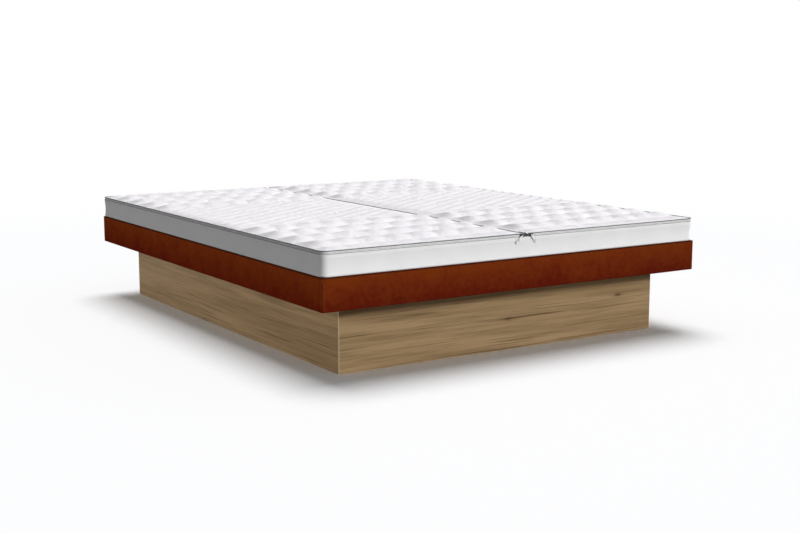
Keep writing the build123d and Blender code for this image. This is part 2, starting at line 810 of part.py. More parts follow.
def build_centre_chain():
    """The zip between the two halves: a bead with its tape on the left, and the right tape."""
    z = centre_zip_height()
    bead_end = half_length - piping_inset
    tape_end = half_length - zip_recess_inset
    b = zip_bead_height / 2
    d = zip_bead_depth / 2
    t = zip_tape_thickness / 2
    reach = centre_hem_gap + centre_tape_width - soft_gap
    clear = b + slider_clearance + slider_wall + zip_running_gap
    bead = block(-b, b, -bead_end, bead_end, z - d, z + d)
    bead = fillet(bead.edges().filter_by(Axis.Y), zip_bead_rounding)
    left = block(-reach, 0, -tape_end, tape_end, z - t, z + t)
    right = block(clear, reach, -tape_end, tape_end, z - t, z + t)
    save("centre_zip", one(bead + left), one(right))


def slider_body(bead_height, bead_depth, plate_gap):
    """A slider lying along X, its bead along X too, open towards -Y for the tape.

    Its back is at -Z, its front plate at +Z stands plate_gap above the bead.
    """
    c = slider_clearance
    w = slider_wall
    half = slider_length / 2
    wide = bead_height / 2 + c
    deep = bead_depth / 2 + c
    front = bead_depth / 2 + plate_gap
    inner = half - slider_plate_overlap
    shell = block(-inner, inner, -wide, wide + w, -deep - w, front)
    shell -= block(-slider_length, slider_length, -wide, wide, -deep, deep)
    slot = zip_tape_thickness / 2 + c
    shell -= block(-slider_length, slider_length, -wide - w, 0, -slot, slot)
    plate = block(-half, half, -slider_plate_width / 2, slider_plate_width / 2, front, front + w)
    plate = fillet(plate.edges().filter_by(Axis.Z), slider_plate_rounding)
    return shell + plate


def pull_ears(lift, lean):
    """Two ears and the pin that carry a pull, standing on a plate at Z = lift."""
    axis_z = lift + pull_eye_radius
    r = pull_eye_radius
    inner = pull_eye_width / 2 + pull_ear_gap
    outer = inner + pull_ear_thickness
    ears = None
    for sign in (-1, 1):
        ear = block(sign * inner, sign * outer, -r, r, lift - slider_wall / 3, axis_z)
        ear += Pos(sign * (inner + outer) / 2, 0, axis_z) * Rot(0, 90, 0) * Cylinder(r, outer - inner)
        ears = ear if ears is None else ears + ear
    pin = Pos(0, 0, axis_z) * Rot(0, 90, 0) * Cylinder(pull_pin_radius, 2 * outer)
    return Rot(0, 0, lean) * (ears + pin)


def pull_tab(lift, lean):
    """A flat metal pull with an eye on the pin and a long slot, pointing along -Y."""
    axis_z = lift + pull_eye_radius
    eye = Pos(0, 0, axis_z) * Rot(0, 90, 0) * Cylinder(pull_eye_radius - pull_eye_lift, pull_eye_width)
    w = pull_eye_width / 2
    t = pull_thickness / 2
    neck_end = -pull_eye_radius - pull_neck_length
    tip = -pull_eye_radius - pull_length
    neck = block(-w, w, neck_end, 0, axis_z - t, axis_z + t)
    blade = block(-pull_width / 2, pull_width / 2, tip, neck_end + pull_neck_overlap, axis_z - t, axis_z + t)
    blade = fillet(blade.edges().filter_by(Axis.Z), pull_rounding)
    slot_middle = tip + pull_slot_margin + pull_slot_length / 2
    slot = Pos(0, slot_middle, axis_z) * extrude(
        SlotOverall(pull_slot_length, pull_slot_width, rotation=90), pull_thickness, both=True
    )
    hole = Pos(0, 0, axis_z) * Rot(0, 90, 0) * Cylinder(pull_pin_radius + pull_pin_clearance, 4 * pull_width)
    return Rot(0, 0, lean) * (eye + neck + blade - slot - hole)


def build_perimeter_slider(side, sign):
    """A slider parked beside the middle of the foot, its pull hanging outwards."""
    gap = zip_inset - zip_bead_depth / 2 - border_inset + piping_proud + zip_running_gap
    place = Pos(sign * slider_side_gap, -half_length + zip_inset, zip_middle) * Rot(90, 0, 0)
    body = slider_body(zip_bead_height, zip_bead_depth, gap)
    lift = zip_bead_depth / 2 + gap + slider_wall
    save(f"zip_slider_{side}", one(place * (body + pull_ears(lift, sign * pull_lean))))
    save(f"zip_pull_{side}", one(place * pull_tab(lift, sign * pull_lean)))


def build_centre_slider():
    """The centre zip's slider at the foot edge, its pull lying back along the seam."""
    y = -half_length + slider_length / 2 + centre_slider_overhang
    place = Pos(0, y, centre_zip_height()) * Rot(0, 0, -90)
    gap = slider_clearance
    body = slider_body(zip_bead_height, zip_bead_depth, gap)
    lift = zip_bead_depth / 2 + gap + slider_wall
    save("zip_slider_centre", one(place * (body + pull_ears(lift, -90))))
    save("zip_pull_centre", one(place * pull_tab(lift, -90)))


# Heater controls on the head board, under the overhang

def control_place(sign):
    """Middle of a control's back face, X across, Y up the board and Z out of it."""
    x = sign * control_spacing / 2
    return Pos(x, plinth_half_length, control_height_above_floor) * Rot(0, 0, 180) * Rot(90, 0, 0)


def build_control(side, sign):
    """A housing with a dial and a rocker switch, and its two cable glands."""
    place = control_place(sign)
    w, t, d = control_width / 2, control_tall / 2, control_depth
    shell = block(-w, w, -t, t, 0, d)
    shell = fillet(shell.edges().filter_by(Axis.Z), control_corner_radius)
    shell = chamfer(shell.faces().sort_by(Axis.Z)[-1].edges(), control_chamfer)
    wall = control_wall
    hollow = block(-w + wall, w - wall, -t + wall, t - wall, wall, d - wall)
    back_hole = Pos(0, 0, wall / 2) * Cylinder(lead_hole_radius, wall)
    pocket = Pos(-rocker_offset, 0, d) * Rot(90, 0, 0) * Cylinder(
        rocker_radius + rocker_clearance, rocker_width + 2 * rocker_clearance
    )
    cup = Pos(-rocker_offset, 0, d) * Rot(90, 0, 0) * Cylinder(
        rocker_radius + rocker_clearance + wall, rocker_width + 2 * (rocker_clearance + wall)
    )
    cup = cup & block(-w, w, -t, t, 0, d)
    bush = Pos(dial_offset, 0, d - wall) * Cylinder(
        dial_shaft_radius + wall, dial_shaft_length, align=(Align.CENTER, Align.CENTER, Align.MAX)
    )
    bore = Pos(dial_offset, 0, d) * Cylinder(dial_shaft_radius + dial_shaft_play, 4 * dial_shaft_length)
    glands = []
    for x in (-w / 2, w / 2):
        spot = Pos(x, -t, d / 2) * Rot(90, 0, 0)
        glands.append(spot * Cylinder(gland_radius, gland_length, align=(Align.CENTER, Align.CENTER, Align.MIN)))
        glands.append(spot * Cylinder(gland_bore_radius, 4 * gland_length))
    bore = bore & block(-w, w, -t, t, wall, d + 1)
    housing = shell - hollow - back_hole + cup + bush - bore - pocket
    housing = housing + glands[0] + glands[2] - glands[1] - glands[3]
    save(f"control_housing_{side}", one(place * housing))
    save(f"control_dial_{side}", one(place * dial()))
    save(f"control_rocker_{side}", one(place * rocker()))


def dial():
    """A round knob with a raised grip bar and a shaft in the housing's bore."""
    z0 = control_depth + dial_gap
    up = (Align.CENTER, Align.CENTER, Align.MIN)
    knob = Pos(dial_offset, 0, z0) * Cone(dial_radius, dial_radius - dial_taper, dial_skirt_height, align=up)
    grip_x, grip_y = dial_grip_length / 2, dial_grip_width / 2
    grip = block(-grip_x, grip_x, -grip_y, grip_y, z0, z0 + dial_height)
    grip = Pos(dial_offset, 0, 0) * fillet(grip.edges().filter_by(Axis.Z), dial_grip_rounding)
    shaft = Pos(dial_offset, 0, z0) * Cylinder(
        dial_shaft_radius, dial_shaft_length, align=(Align.CENTER, Align.CENTER, Align.MAX)
    )
    return knob + grip + shaft


def rocker():
    """A rocker switch: a round-backed key whose face is two slight slopes."""
    key = Rot(90, 0, 0) * Cylinder(rocker_radius, rocker_width)
    for turn in (-rocker_tilt, rocker_tilt):
        above = Pos(0, 0, rocker_proud) * Rot(0, turn, 0) * Pos(0, 0, rocker_radius)
        key -= above * Box(4 * rocker_radius, 2 * rocker_width, 2 * rocker_radius)
    return Pos(-rocker_offset, 0, control_depth) * Rot(0, -rocker_tilt, 0) * key


build_plinth()
build_deck()
build_rails()
build_border()
build_foam_frame()
build_layers()
for side, sign in sides():
    build_quilt(side, sign)
    build_perimeter_chain(side, sign)
    build_perimeter_slider(side, sign)
    build_control(side, sign)
build_top_piping()
build_centre_chain()
build_centre_slider()
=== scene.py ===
import math
import random

import bmesh
import bpy
import numpy as np
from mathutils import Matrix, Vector


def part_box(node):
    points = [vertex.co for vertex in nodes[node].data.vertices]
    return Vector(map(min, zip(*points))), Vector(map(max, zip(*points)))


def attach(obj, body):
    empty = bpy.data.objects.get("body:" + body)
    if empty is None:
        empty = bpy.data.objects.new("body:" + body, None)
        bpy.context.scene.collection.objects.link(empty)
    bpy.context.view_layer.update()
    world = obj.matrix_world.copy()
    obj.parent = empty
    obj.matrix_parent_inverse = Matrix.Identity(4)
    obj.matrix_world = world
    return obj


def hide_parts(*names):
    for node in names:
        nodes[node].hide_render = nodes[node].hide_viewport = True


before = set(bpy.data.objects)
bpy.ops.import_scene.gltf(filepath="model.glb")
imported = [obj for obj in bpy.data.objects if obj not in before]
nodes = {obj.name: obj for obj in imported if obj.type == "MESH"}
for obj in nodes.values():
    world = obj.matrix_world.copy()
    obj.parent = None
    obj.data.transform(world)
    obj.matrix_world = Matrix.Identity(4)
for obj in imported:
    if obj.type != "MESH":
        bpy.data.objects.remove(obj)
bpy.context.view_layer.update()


# The photographer's place: eye height, off the bed's foot-left corner, with a short telephoto
# lens that looks slightly down. Its numbers come from the bed's straight edges in an
# 800 by 533 pixel picture.
photo_width_pixels = 800
focal_length_pixels = 1260.0
sensor_width_mm = 36.0
camera_place = Vector((-3.0052, -4.8765, 1.1144))
camera_turn = math.radians(32.73)
camera_dip = math.radians(9.054)

camera = bpy.data.objects.new("camera", bpy.data.cameras.new("camera"))
camera.data.sensor_width = sensor_width_mm
camera.data.lens = focal_length_pixels * sensor_width_mm / photo_width_pixels
camera.location = camera_place
camera.rotation_euler = (math.pi / 2 - camera_dip, 0, -camera_turn)
bpy.context.scene.collection.objects.link(camera)
bpy.context.scene.camera = camera


# The floor: a seamless white studio sweep. Away from the bed it goes over to plain white,
# and under and beside the bed it keeps the shadow.
class Level:
    """A shader socket that can stand in a sum, a difference or a product."""

    def __init__(self, finish, socket):
        self.finish = finish
        self.socket = socket

    def __add__(self, other):
        return self.finish.maths("ADD", self, other)

    def __sub__(self, other):
        return self.finish.maths("SUBTRACT", self, other)

    def __rsub__(self, other):
        return self.finish.maths("SUBTRACT", other, self)

    def __mul__(self, other):
        return self.finish.maths("MULTIPLY", self, other)

    __radd__ = __add__
    __rmul__ = __mul__


class Finish:
    """One material: a Principled shader with its fixed values, and the nodes that feed it."""

    def __init__(self, name, **fixed):
        self.material = bpy.data.materials.new(name)
        self.material.use_nodes = True
        self.tree = self.material.node_tree
        self.shader = self.tree.nodes["Principled BSDF"]
        self.output = self.tree.nodes["Material Output"]
        for socket, value in fixed.items():
            self.shader.inputs[socket.replace("_", " ").title().replace("Ior", "IOR")].default_value = value

    def feed(self, socket, value):
        if isinstance(value, Level):
            self.tree.links.new(value.socket, socket)
        elif getattr(socket, "type", "") == "RGBA" and len(value) == 3:
            socket.default_value = (*value, 1)
        else:
            socket.default_value = value

    def node(self, kind, settings=None, sockets=None, out=0):
        made = self.tree.nodes.new(kind)
        for name, value in (settings or {}).items():
            setattr(made, name, value)
        for name, value in (sockets or {}).items():
            self.feed(made.inputs[name], value)
        return Level(self, made.outputs[out])

    def wear(self, **levels):
        """Feeds the shader's own sockets, such as base_color or roughness."""
        for socket, value in levels.items():
            self.feed(self.shader.inputs[socket.replace("_", " ").title()], value)
        return self

    def dress(self, piece):
        piece.data.materials.clear()
        piece.data.materials.append(self.material)

    def maths(self, operation, *values):
        return self.node("ShaderNodeMath", {"operation": operation}, dict(enumerate(values)))

    def place(self, scale=(1, 1, 1), shift=(0, 0, 0)):
        """The point on the piece, in metres, stretched and moved."""
        point = self.node("ShaderNodeTexCoord", out="Object")
        return self.node("ShaderNodeMapping", {}, {"Vector": point, "Scale": scale, "Location": shift})

    def axes(self, place):
        parts = self.node("ShaderNodeSeparateXYZ", {}, {0: place}).socket.node.outputs
        return [Level(self, part) for part in parts]

    def noise(self, place, scale, detail=2.0, roughness=0.5, distortion=0.0):
        return self.node("ShaderNodeTexNoise", {}, {
            "Vector": place, "Scale": scale, "Detail": detail, "Roughness": roughness,
            "Distortion": distortion})

    def chips(self, place, scale):
        """One value for each cell of a broken-up surface."""
        cells = self.node("ShaderNodeTexVoronoi", {}, {"Vector": place, "Scale": scale}).socket.node.outputs
        return self.node("ShaderNodeSeparateColor", {}, {0: Level(self, cells["Color"])})

    def walls(self, place, scale):
        """The distance to the nearest wall between such cells."""
        return self.node("ShaderNodeTexVoronoi", {"feature": "DISTANCE_TO_EDGE"}, {
            "Vector": place, "Scale": scale})

    def span(self, level, low, high, to_low=0.0, to_high=1.0):
        """Stretches a level between two values and holds it there."""
        return self.node("ShaderNodeMapRange", {}, {
            "Value": level, "From Min": low, "From Max": high, "To Min": to_low, "To Max": to_high})

    def blend(self, share, first, second, blend_type="MIX"):
        return self.node("ShaderNodeMix", {"data_type": "RGBA", "blend_type": blend_type}, {
            0: share, 6: first, 7: second}, out=2)

    def relief(self, height, distance, strength=1.0):
        """A fine relief for the shader's normal, its height in metres."""
        return self.wear(normal=self.node("ShaderNodeBump", {}, {
            "Height": height, "Distance": distance, "Strength": strength}))


floor_half_size = 40.0
floor_colour = (0.93, 0.935, 0.945)
floor_bounce_colour = (0.30, 0.30, 0.305)
floor_lift = 0.05
floor_white_from = 3.2
floor_white_by = 5.5

floor_mesh = bpy.data.meshes.new("studio_floor")
floor_signs = ((-1, -1), (1, -1), (1, 1), (-1, 1))
floor_corners = [(x * floor_half_size, y * floor_half_size, 0) for x, y in floor_signs]
floor_mesh.from_pydata(floor_corners, [], [(0, 1, 2, 3)])
floor = bpy.data.objects.new("studio_floor", floor_mesh)
bpy.context.scene.collection.objects.link(floor)


def ray_is_seen(finish):
    """1 for what the eye, gloss or glass sees, 0 for light that the surface throws back."""
    rays = finish.node("ShaderNodeLightPath").socket.node.outputs
    seen = Level(finish, rays["Is Camera Ray"])
    for kind in ("Is Glossy Ray", "Is Transmission Ray"):
        seen = finish.maths("MAXIMUM", seen, Level(finish, rays[kind]))
    return seen


sweep = Finish("studio_white", roughness=1.0, specular_ior_level=0.0)
seen = ray_is_seen(sweep)
sweep.wear(base_color=sweep.blend(seen, floor_bounce_colour, floor_colour))
where = sweep.node("ShaderNodeTexCoord", out="Object")
away = sweep.node("ShaderNodeVectorMath", {"operation": "LENGTH"}, {0: where}, out="Value")
far = sweep.node("ShaderNodeMapRange", {"interpolation_type": "SMOOTHSTEP"}, {
    "Value": away, "From Min": floor_white_from, "From Max": floor_white_by})
lift = sweep.node("ShaderNodeEmission", {}, {"Color": (1, 1, 1), "Strength": seen * floor_lift})
near_bed = sweep.node("ShaderNodeAddShader", {}, {0: Level(sweep, sweep.shader.outputs[0]), 1: lift})
plain = sweep.node("ShaderNodeEmission", {}, {"Color": (1, 1, 1), "Strength": 1.0})
shown = sweep.node("ShaderNodeMixShader", {}, {0: far * seen, 1: near_bed, 2: plain})
sweep.feed(sweep.output.inputs["Surface"], shown)
sweep.dress(floor)


# Studio light: a soft lamp low in front, a broad one from the right that draws the quilting,
# a weak one overhead, and an even pale surround. One lamp lights the floor alone, so that it
# keeps the bed's shadow, and a low one on the left lifts the plinth and the rails.
surround_strength = 0.24
lamps = {
    "front_right_lamp": {"towards": (0.46, -0.88, 0.38), "strength": 2.35, "spread": 10, "lights": "object"},
    "right_lamp": {"towards": (0.84, 0.05, 0.54), "strength": 1.75, "spread": 26, "lights": "object"},
    "overhead_lamp": {"towards": (0.2, -0.1, 1.0), "strength": 0.40, "spread": 60, "lights": "object"},
    "floor_lamp": {"towards": (0.145, 0.27, 1.0), "strength": 2.5, "spread": 38, "lights": "floor"},
    "low_left_lamp": {"towards": (-0.97, 0.05, 0.12), "strength": 1.68, "spread": 50, "lights": "skirts"},
}

world = bpy.data.worlds.new("studio_surround")
bpy.context.scene.world = world
world.use_nodes = True
surround = Finish.__new__(Finish)
surround.tree = world.node_tree
seen = ray_is_seen(surround)
background = world.node_tree.nodes["Background"]
background.inputs["Color"].default_value = (1, 1, 1, 1)
surround.feed(background.inputs["Strength"], surround_strength + (1 - surround_strength) * seen)

lit = {group: bpy.data.collections.new(f"lit_as_{group}") for group in ("object", "floor", "skirts")}
lit["object"].objects.link(floor)
lit["object"].collection_objects[0].light_linking.link_state = "EXCLUDE"
lit["floor"].objects.link(floor)
for name, lamp in lamps.items():
    light = bpy.data.lights.new(name, "SUN")
    light.energy = lamp["strength"]
    light.angle = math.radians(lamp["spread"])
    holder = bpy.data.objects.new(name, light)
    holder.rotation_mode = "QUATERNION"
    holder.rotation_quaternion = Vector(lamp["towards"]).to_track_quat("Z", "Y")
    holder.light_linking.receiver_collection = lit[lamp["lights"]]
    bpy.context.scene.collection.objects.link(holder)

bpy.context.scene.view_settings.view_transform = "Standard"


# The four plinth boards: chipboard with an oak print under a satin melamine skin, mitred at
# the corners, where the print is folded round a small radius.
oak_light = (0.365, 0.248, 0.132)
oak_mid = (0.262, 0.172, 0.086)
oak_dark = (0.120, 0.074, 0.036)
oak_knot = (0.060, 0.036, 0.018)
oak_corner_highlight = (0.62, 0.50, 0.34)
oak_wave_height = 0.014


def oak_print(name, along, shift, painted_light_factor):
    """Oak with its grain along X (0) or Y (1)."""
    finish = Finish(name, specular_ior_level=0.03)
    plain = finish.place(shift=shift)
    slow = (0.45, 1, 1) if along == 0 else (1, 0.45, 1)
    drift = finish.noise(finish.place([4 * s for s in slow], shift), 1.0, 2.0)
    axes = finish.axes(plain)
    height = axes[2] + oak_wave_height * (drift - 0.5)
    run, face = axes[along], axes[1 - along]

    def grain(run_scale, height_scale, detail, roughness=0.55):
        place = finish.node("ShaderNodeCombineXYZ", {}, {
            0: run * run_scale, 1: height * height_scale, 2: face * 3.0})
        return finish.noise(place, 1.0, detail, roughness)

    bands = finish.span(grain(0.9, 17.0, 3.0), 0.36, 0.66)
    streaks = finish.span(grain(2.6, 62.0, 5.0, 0.62), 0.40, 0.72)
    lines = finish.span(grain(1.5, 120.0, 3.0), 0.60, 0.70)
    pores = finish.span(grain(22.0, 900.0, 2.0), 0.57, 0.70)
    knot_place = finish.node("ShaderNodeCombineXYZ", {}, {0: run * 3.3, 1: height * 11.0, 2: 0.0})
    cells = finish.node("ShaderNodeTexVoronoi", {}, {"Vector": knot_place, "Scale": 1.0, "Randomness": 0.9})
    cell = cells.socket.node.outputs
    pick = finish.node("ShaderNodeSeparateColor", {}, {0: Level(finish, cell["Color"])})
    chosen = finish.maths("GREATER_THAN", pick, 0.52)
    near = Level(finish, cell["Distance"])
    halo = finish.span(near, 0.04, 0.20, 1.0, 0.0) * chosen
    heart = finish.span(near, 0.02, 0.085, 1.0, 0.0) * chosen
    colour = finish.blend(bands, oak_light, oak_mid)
    colour = finish.blend(streaks * 0.52, colour, oak_dark)
    colour = finish.blend(lines * 0.85, colour, oak_dark)
    colour = finish.blend(pores * 0.28, colour, oak_dark)
    colour = finish.blend(halo * 0.45 * (streaks + 0.5), colour, oak_dark)
    colour = finish.blend(heart * 0.8, colour, oak_knot)
    # Painted highlight: a paler strip on the print at each end of the board, where its rounded corner
    # catches the light.
    end = finish.maths("ABSOLUTE", run - shift[along])
    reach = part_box(("plinth_foot_board", "plinth_side_left")[along])[1][along]
    corner_highlight = finish.span(end, reach - 0.0035, reach - 0.0015)
    colour = finish.blend(corner_highlight * 0.5, colour, oak_corner_highlight)
    # Painted light: each board's print is multiplied by a factor of its own, set above 1 on the left side
    # and foot boards to make up for the shade the lamps leave there.
    tone = (painted_light_factor, painted_light_factor, painted_light_factor)
    colour = finish.blend(1.0, colour, tone, "MULTIPLY")
    finish.wear(base_color=colour, roughness=0.46 + 0.12 * streaks)
    return finish.relief(streaks * 0.5 + pores, 0.0002, 0.35)


# The factor after each board's shift is painted light: a brightness set per board for how the lamps light
# it.
plinth_boards = {
    "plinth_side_left": oak_print("oak_side_left", 1, (0.3, 0.35, 0.1), 1.13),
    "plinth_side_right": oak_print("oak_side_right", 1, (0.9, 1.7, 0.7), 1.0),
    "plinth_foot_board": oak_print("oak_foot", 0, (0.2, 2.1, 0.4), 1.05),
    "plinth_head_board": oak_print("oak_head", 0, (1.3, 0.6, 0.9), 1.0),
}
for board, finish in plinth_boards.items():
    finish.dress(nodes[board])
    lit["skirts"].objects.link(nodes[board])


# The dividers: raw chipboard sawn to size. One long divider and three across it are slotted
# half and half into each other, and carry the deck.
chip_pale = (0.50, 0.375, 0.225)
chip_tan = (0.36, 0.25, 0.135)
chip_dark = (0.15, 0.095, 0.05)


def raw_chipboard(name, shift, pale, tan):
    """Pressed chips with their dust, as a saw leaves them."""
    finish = Finish(name, specular_ior_level=0.2)
    place = finish.place(shift=shift)
    chip = finish.chips(place, 240.0)
    dust = finish.span(finish.noise(place, 900.0, 3.0), 0.45, 0.75)
    colour = finish.blend(chip, tan, pale)
    colour = finish.blend(dust * 0.5, colour, chip_dark)
    finish.wear(base_color=colour, roughness=0.76 + 0.16 * chip)
    return finish.relief(chip + dust, 0.0003, 0.5)


chipboard = raw_chipboard("raw_chipboard", (0.2, 0.7, 0.1), chip_pale, chip_tan)
for name in ("plinth_long_divider", "plinth_cross_dividers"):
    chipboard.dress(nodes[name])


# Steel angles in the plinth's corners, bent from strip and zinc plated, with countersunk
# screws of hardened steel here, in the deck and in the rails' plates.
def plated_steel(name, pale, dark, spangle, roughness):
    """Zinc or nickel on steel, in faint patches, with scuffs."""
    finish = Finish(name, metallic=1.0)
    place = finish.place()
    patch = finish.chips(place, spangle)
    scuff = finish.noise(place, spangle * 2.5, 4.0, 0.7)
    finish.wear(base_color=finish.blend(patch * 0.5 + scuff * 0.5, dark, pale),
                roughness=roughness + 0.2 * scuff)
    return finish.relief(scuff, 0.00005, 0.3)


zinc = plated_steel("zinc_plate", (0.66, 0.67, 0.68), (0.45, 0.46, 0.47), 180.0, 0.28)
screw_steel = plated_steel("screw_steel", (0.55, 0.52, 0.44), (0.36, 0.34, 0.30), 700.0, 0.24)
zinc.dress(nodes["plinth_corner_brackets"])
screw_steel.dress(nodes["short_screws"])


# The deck: four chipboard panels, sanded and a little paler than the dividers, butted over
# the plinth and screwed down into its boards.
deck_board = raw_chipboard("sanded_chipboard", (0.9, 0.1, 0.4), (0.58, 0.45, 0.285), (0.44, 0.325, 0.19))
for end in ("foot", "head"):
    for side in ("left", "right"):
        deck_board.dress(nodes[f"deck_panel_{end}_{side}"])
screw_steel.dress(nodes["deck_screws"])


# The grommets: two bushes of black nylon pressed into the deck under the heater pads, where
# the leads drop through.
def moulded_plastic(name, colour, roughness):
    """Injection-moulded plastic with a spark-eroded texture."""
    finish = Finish(name, specular_ior_level=0.4)
    place = finish.place()
    speck = finish.noise(place, 1500.0, 2.0)
    tone = finish.span(finish.noise(place, 25.0, 2.0) * 0.5 + speck * 0.5, 0.3, 0.7)
    finish.wear(base_color=finish.blend(tone, [c * 0.86 for c in colour], colour),
                roughness=roughness + 0.12 * speck)
    return finish.relief(speck, 0.00005, 0.35)


black_nylon = moulded_plastic("black_nylon", (0.018, 0.018, 0.019), 0.42)
black_nylon.dress(nodes["cable_grommets"])


# The rails' cores: mitred chipboard battens that stand on the deck's edge, tied to it from
# below with short steel plates.
rail_core = raw_chipboard("rail_core_chipboard", (0.5, 1.1, 0.8), chip_pale, chip_tan)
rail_core.dress(nodes["rail_cores"])
black_plate = plated_steel("blackened_steel", (0.055, 0.055, 0.06), (0.03, 0.03, 0.033), 300.0, 0.38)
black_plate.dress(nodes["rail_fixing_plates"])


# The rails' leatherette: red-brown artificial leather on a fleece, drawn tight round each
# board core. The sleeves meet in a mitred seam at the bed's corners, with a stitched row
# on each side of it.
up = Vector((0, 0, 1))
rail_low, rail_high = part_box("rail_leatherette_foot")
half_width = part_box("rail_leatherette_right")[1].x
half_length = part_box("rail_leatherette_head")[1].y
rail_thickness = rail_high.y - rail_low.y
rail_corner_radius = 0.006
rail_edge_radius = 0.003
rail_crown = 0.0011
seam_groove_depth = 0.0006
seam_groove_width = 0.0011
stitch_row_from_seam = 0.0075
corner_cut = rail_corner_radius * (1 - math.sqrt(0.5))
sides = {
    "foot": (half_width, lambda run, depth: (run, depth - half_length)),
    "head": (half_width, lambda run, depth: (-run, half_length - depth)),
    "left": (half_length, lambda run, depth: (depth - half_width, -run)),
    "right": (half_length, lambda run, depth: (half_width - depth, run)),
}


def add_piece(name, points, faces, finish, body, slot, stands_for=(), smooth=True):
    """A finished mesh in its place: dressed, riding on its body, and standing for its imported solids."""
    mesh = bpy.data.meshes.new(name)
    mesh.from_pydata([tuple(p) for p in points], [], faces)
    mesh.update()
    piece = bpy.data.objects.new(name, mesh)
    bpy.context.scene.collection.objects.link(piece)
    mesh.shade_smooth() if smooth else mesh.shade_flat()
    finish.dress(piece)
    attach(piece, body)
    if stands_for:
        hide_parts(*stands_for)
    return piece


def skin_over(rings, joined=False, capped=True):
    """Points and faces of a skin over a row of closed rings with equal counts."""
    count = len(rings[0])
    points = [p for ring in rings for p in ring]
    faces = []
    for i in range(len(rings) if joined else len(rings) - 1):
        a, b = i * count, (i + 1) % len(rings) * count
        faces += [(a + k, b + k, b + (k + 1) % count, a + (k + 1) % count) for k in range(count)]
    if capped and not joined:
        faces.append(tuple(range(count)))
        faces.append(tuple(reversed(range(len(points) - count, len(points)))))
    return points, faces


def arc(middle, radius, start, stop, steps):
    """Points on an arc in a plane, its angles in degrees, both ends included."""
    turns = [math.radians(start + (stop - start) * i / steps) for i in range(steps + 1)]
    return [(middle[0] + radius * math.cos(t), middle[1] + radius * math.sin(t)) for t in turns]


def row_of(first, last, count):
    return [first + (last - first) * i / count for i in range(count + 1)]


def rail_section():
    """Depth and height of the sleeve's outline, starting low on the outer face."""
    low, high, r = rail_low.z, rail_high.z, rail_edge_radius
    middle, reach = (low + high) / 2, (high - low) / 2
    outer = []
    for z in row_of(low + r, high - r, 14):
        outer.append((rail_crown * ((z - middle) / reach) ** 4, z))
    edge = outer[-1][0]
    top = [(edge + r - x, z) for x, z in arc((0, high - r), r, 0, 90, 4)[1:]]
    back = rail_thickness
    rest = [(back * 0.4, high), (back - r, high), (back, high - r), (back, middle), (back, low + r),
            (back - r, low), (back * 0.4, low)]
    bottom = [(edge + r - x, z) for x, z in arc((0, low + r), r, -90, 0, 4)[:-1]]
    return outer + top + rest + bottom


def rail_sleeve(side):
    half_run, place = sides[side]
    near_seam = [0, 0.5, 1.0, 1.5, 2.1, 2.8, 3.6, 4.6, 5.8, 7.5, 10, 14, 20]
    inner = row_of(-half_run + 0.03, half_run - 0.03, 60)
    runs = [-half_run + corner_cut + d / 1000 for d in near_seam] + inner
    runs += [half_run - corner_cut - d / 1000 for d in reversed(near_seam)]
    section = rail_section()
    rings = []
    for run in runs:
        share = run / (half_run - corner_cut)
        from_seam = (1 - abs(share)) * (half_run - corner_cut)
        groove = seam_groove_depth * math.exp(-(from_seam / seam_groove_width) ** 2)
        ring = []
        for depth, z in section:
            end = half_run - max(depth, corner_cut)
            along = share * end
            into_corner = abs(along) - (half_run - rail_corner_radius)
            if into_corner > 0:
                round_depth = rail_corner_radius - math.sqrt(rail_corner_radius ** 2 - into_corner ** 2)
                depth = max(depth, round_depth)
            if depth < 0.004:
                depth += groove + 0.00018 * math.sin(37 * run + 90 * z) * math.sin(23 * run - 61 * z)
            ring.append((*place(along, depth), z))
        rings.append(ring)
    return skin_over(rings)


def stitch(middle, along, out, length, width, lift):
    """One stitch of thread: a short bead that dips in at both ends."""
    across = along.cross(out)
    rings = []
    for share, rise in ((-0.5, -0.35), (-0.32, 0.7), (0, 1.0), (0.32, 0.7), (0.5, -0.35)):
        centre = middle + along * share * length + out * rise * lift
        thick = width * (0.55 if abs(share) > 0.4 else 1.0)
        rings.append([centre + across * (c * thick) + out * (s * thick * 0.8)
                      for c, s in ((1, 0), (0.3, 1), (-0.3, 1), (-1, 0), (0, -1))])
    return skin_over(rings)


def join_parts(parts):
    points, faces = [], []
    for more_points, more_faces in parts:
        base = len(points)
        points += more_points
        faces += [tuple(base + k for k in face) for face in more_faces]
    return points, faces


leather_pale_and_lit_colour = (0.165, 0.0290, 0.0050)
leather_deep_and_shaded_colour = (0.098, 0.0095, 0.0034)
leather_crease_shade_colour = (0.060, 0.0085, 0.0035)
leather_edge_highlight_colour = (0.30, 0.085, 0.022)
leather_top_shadow_colour = (0.020, 0.005, 0.003)
leather_grain_size = 1 / 0.0016


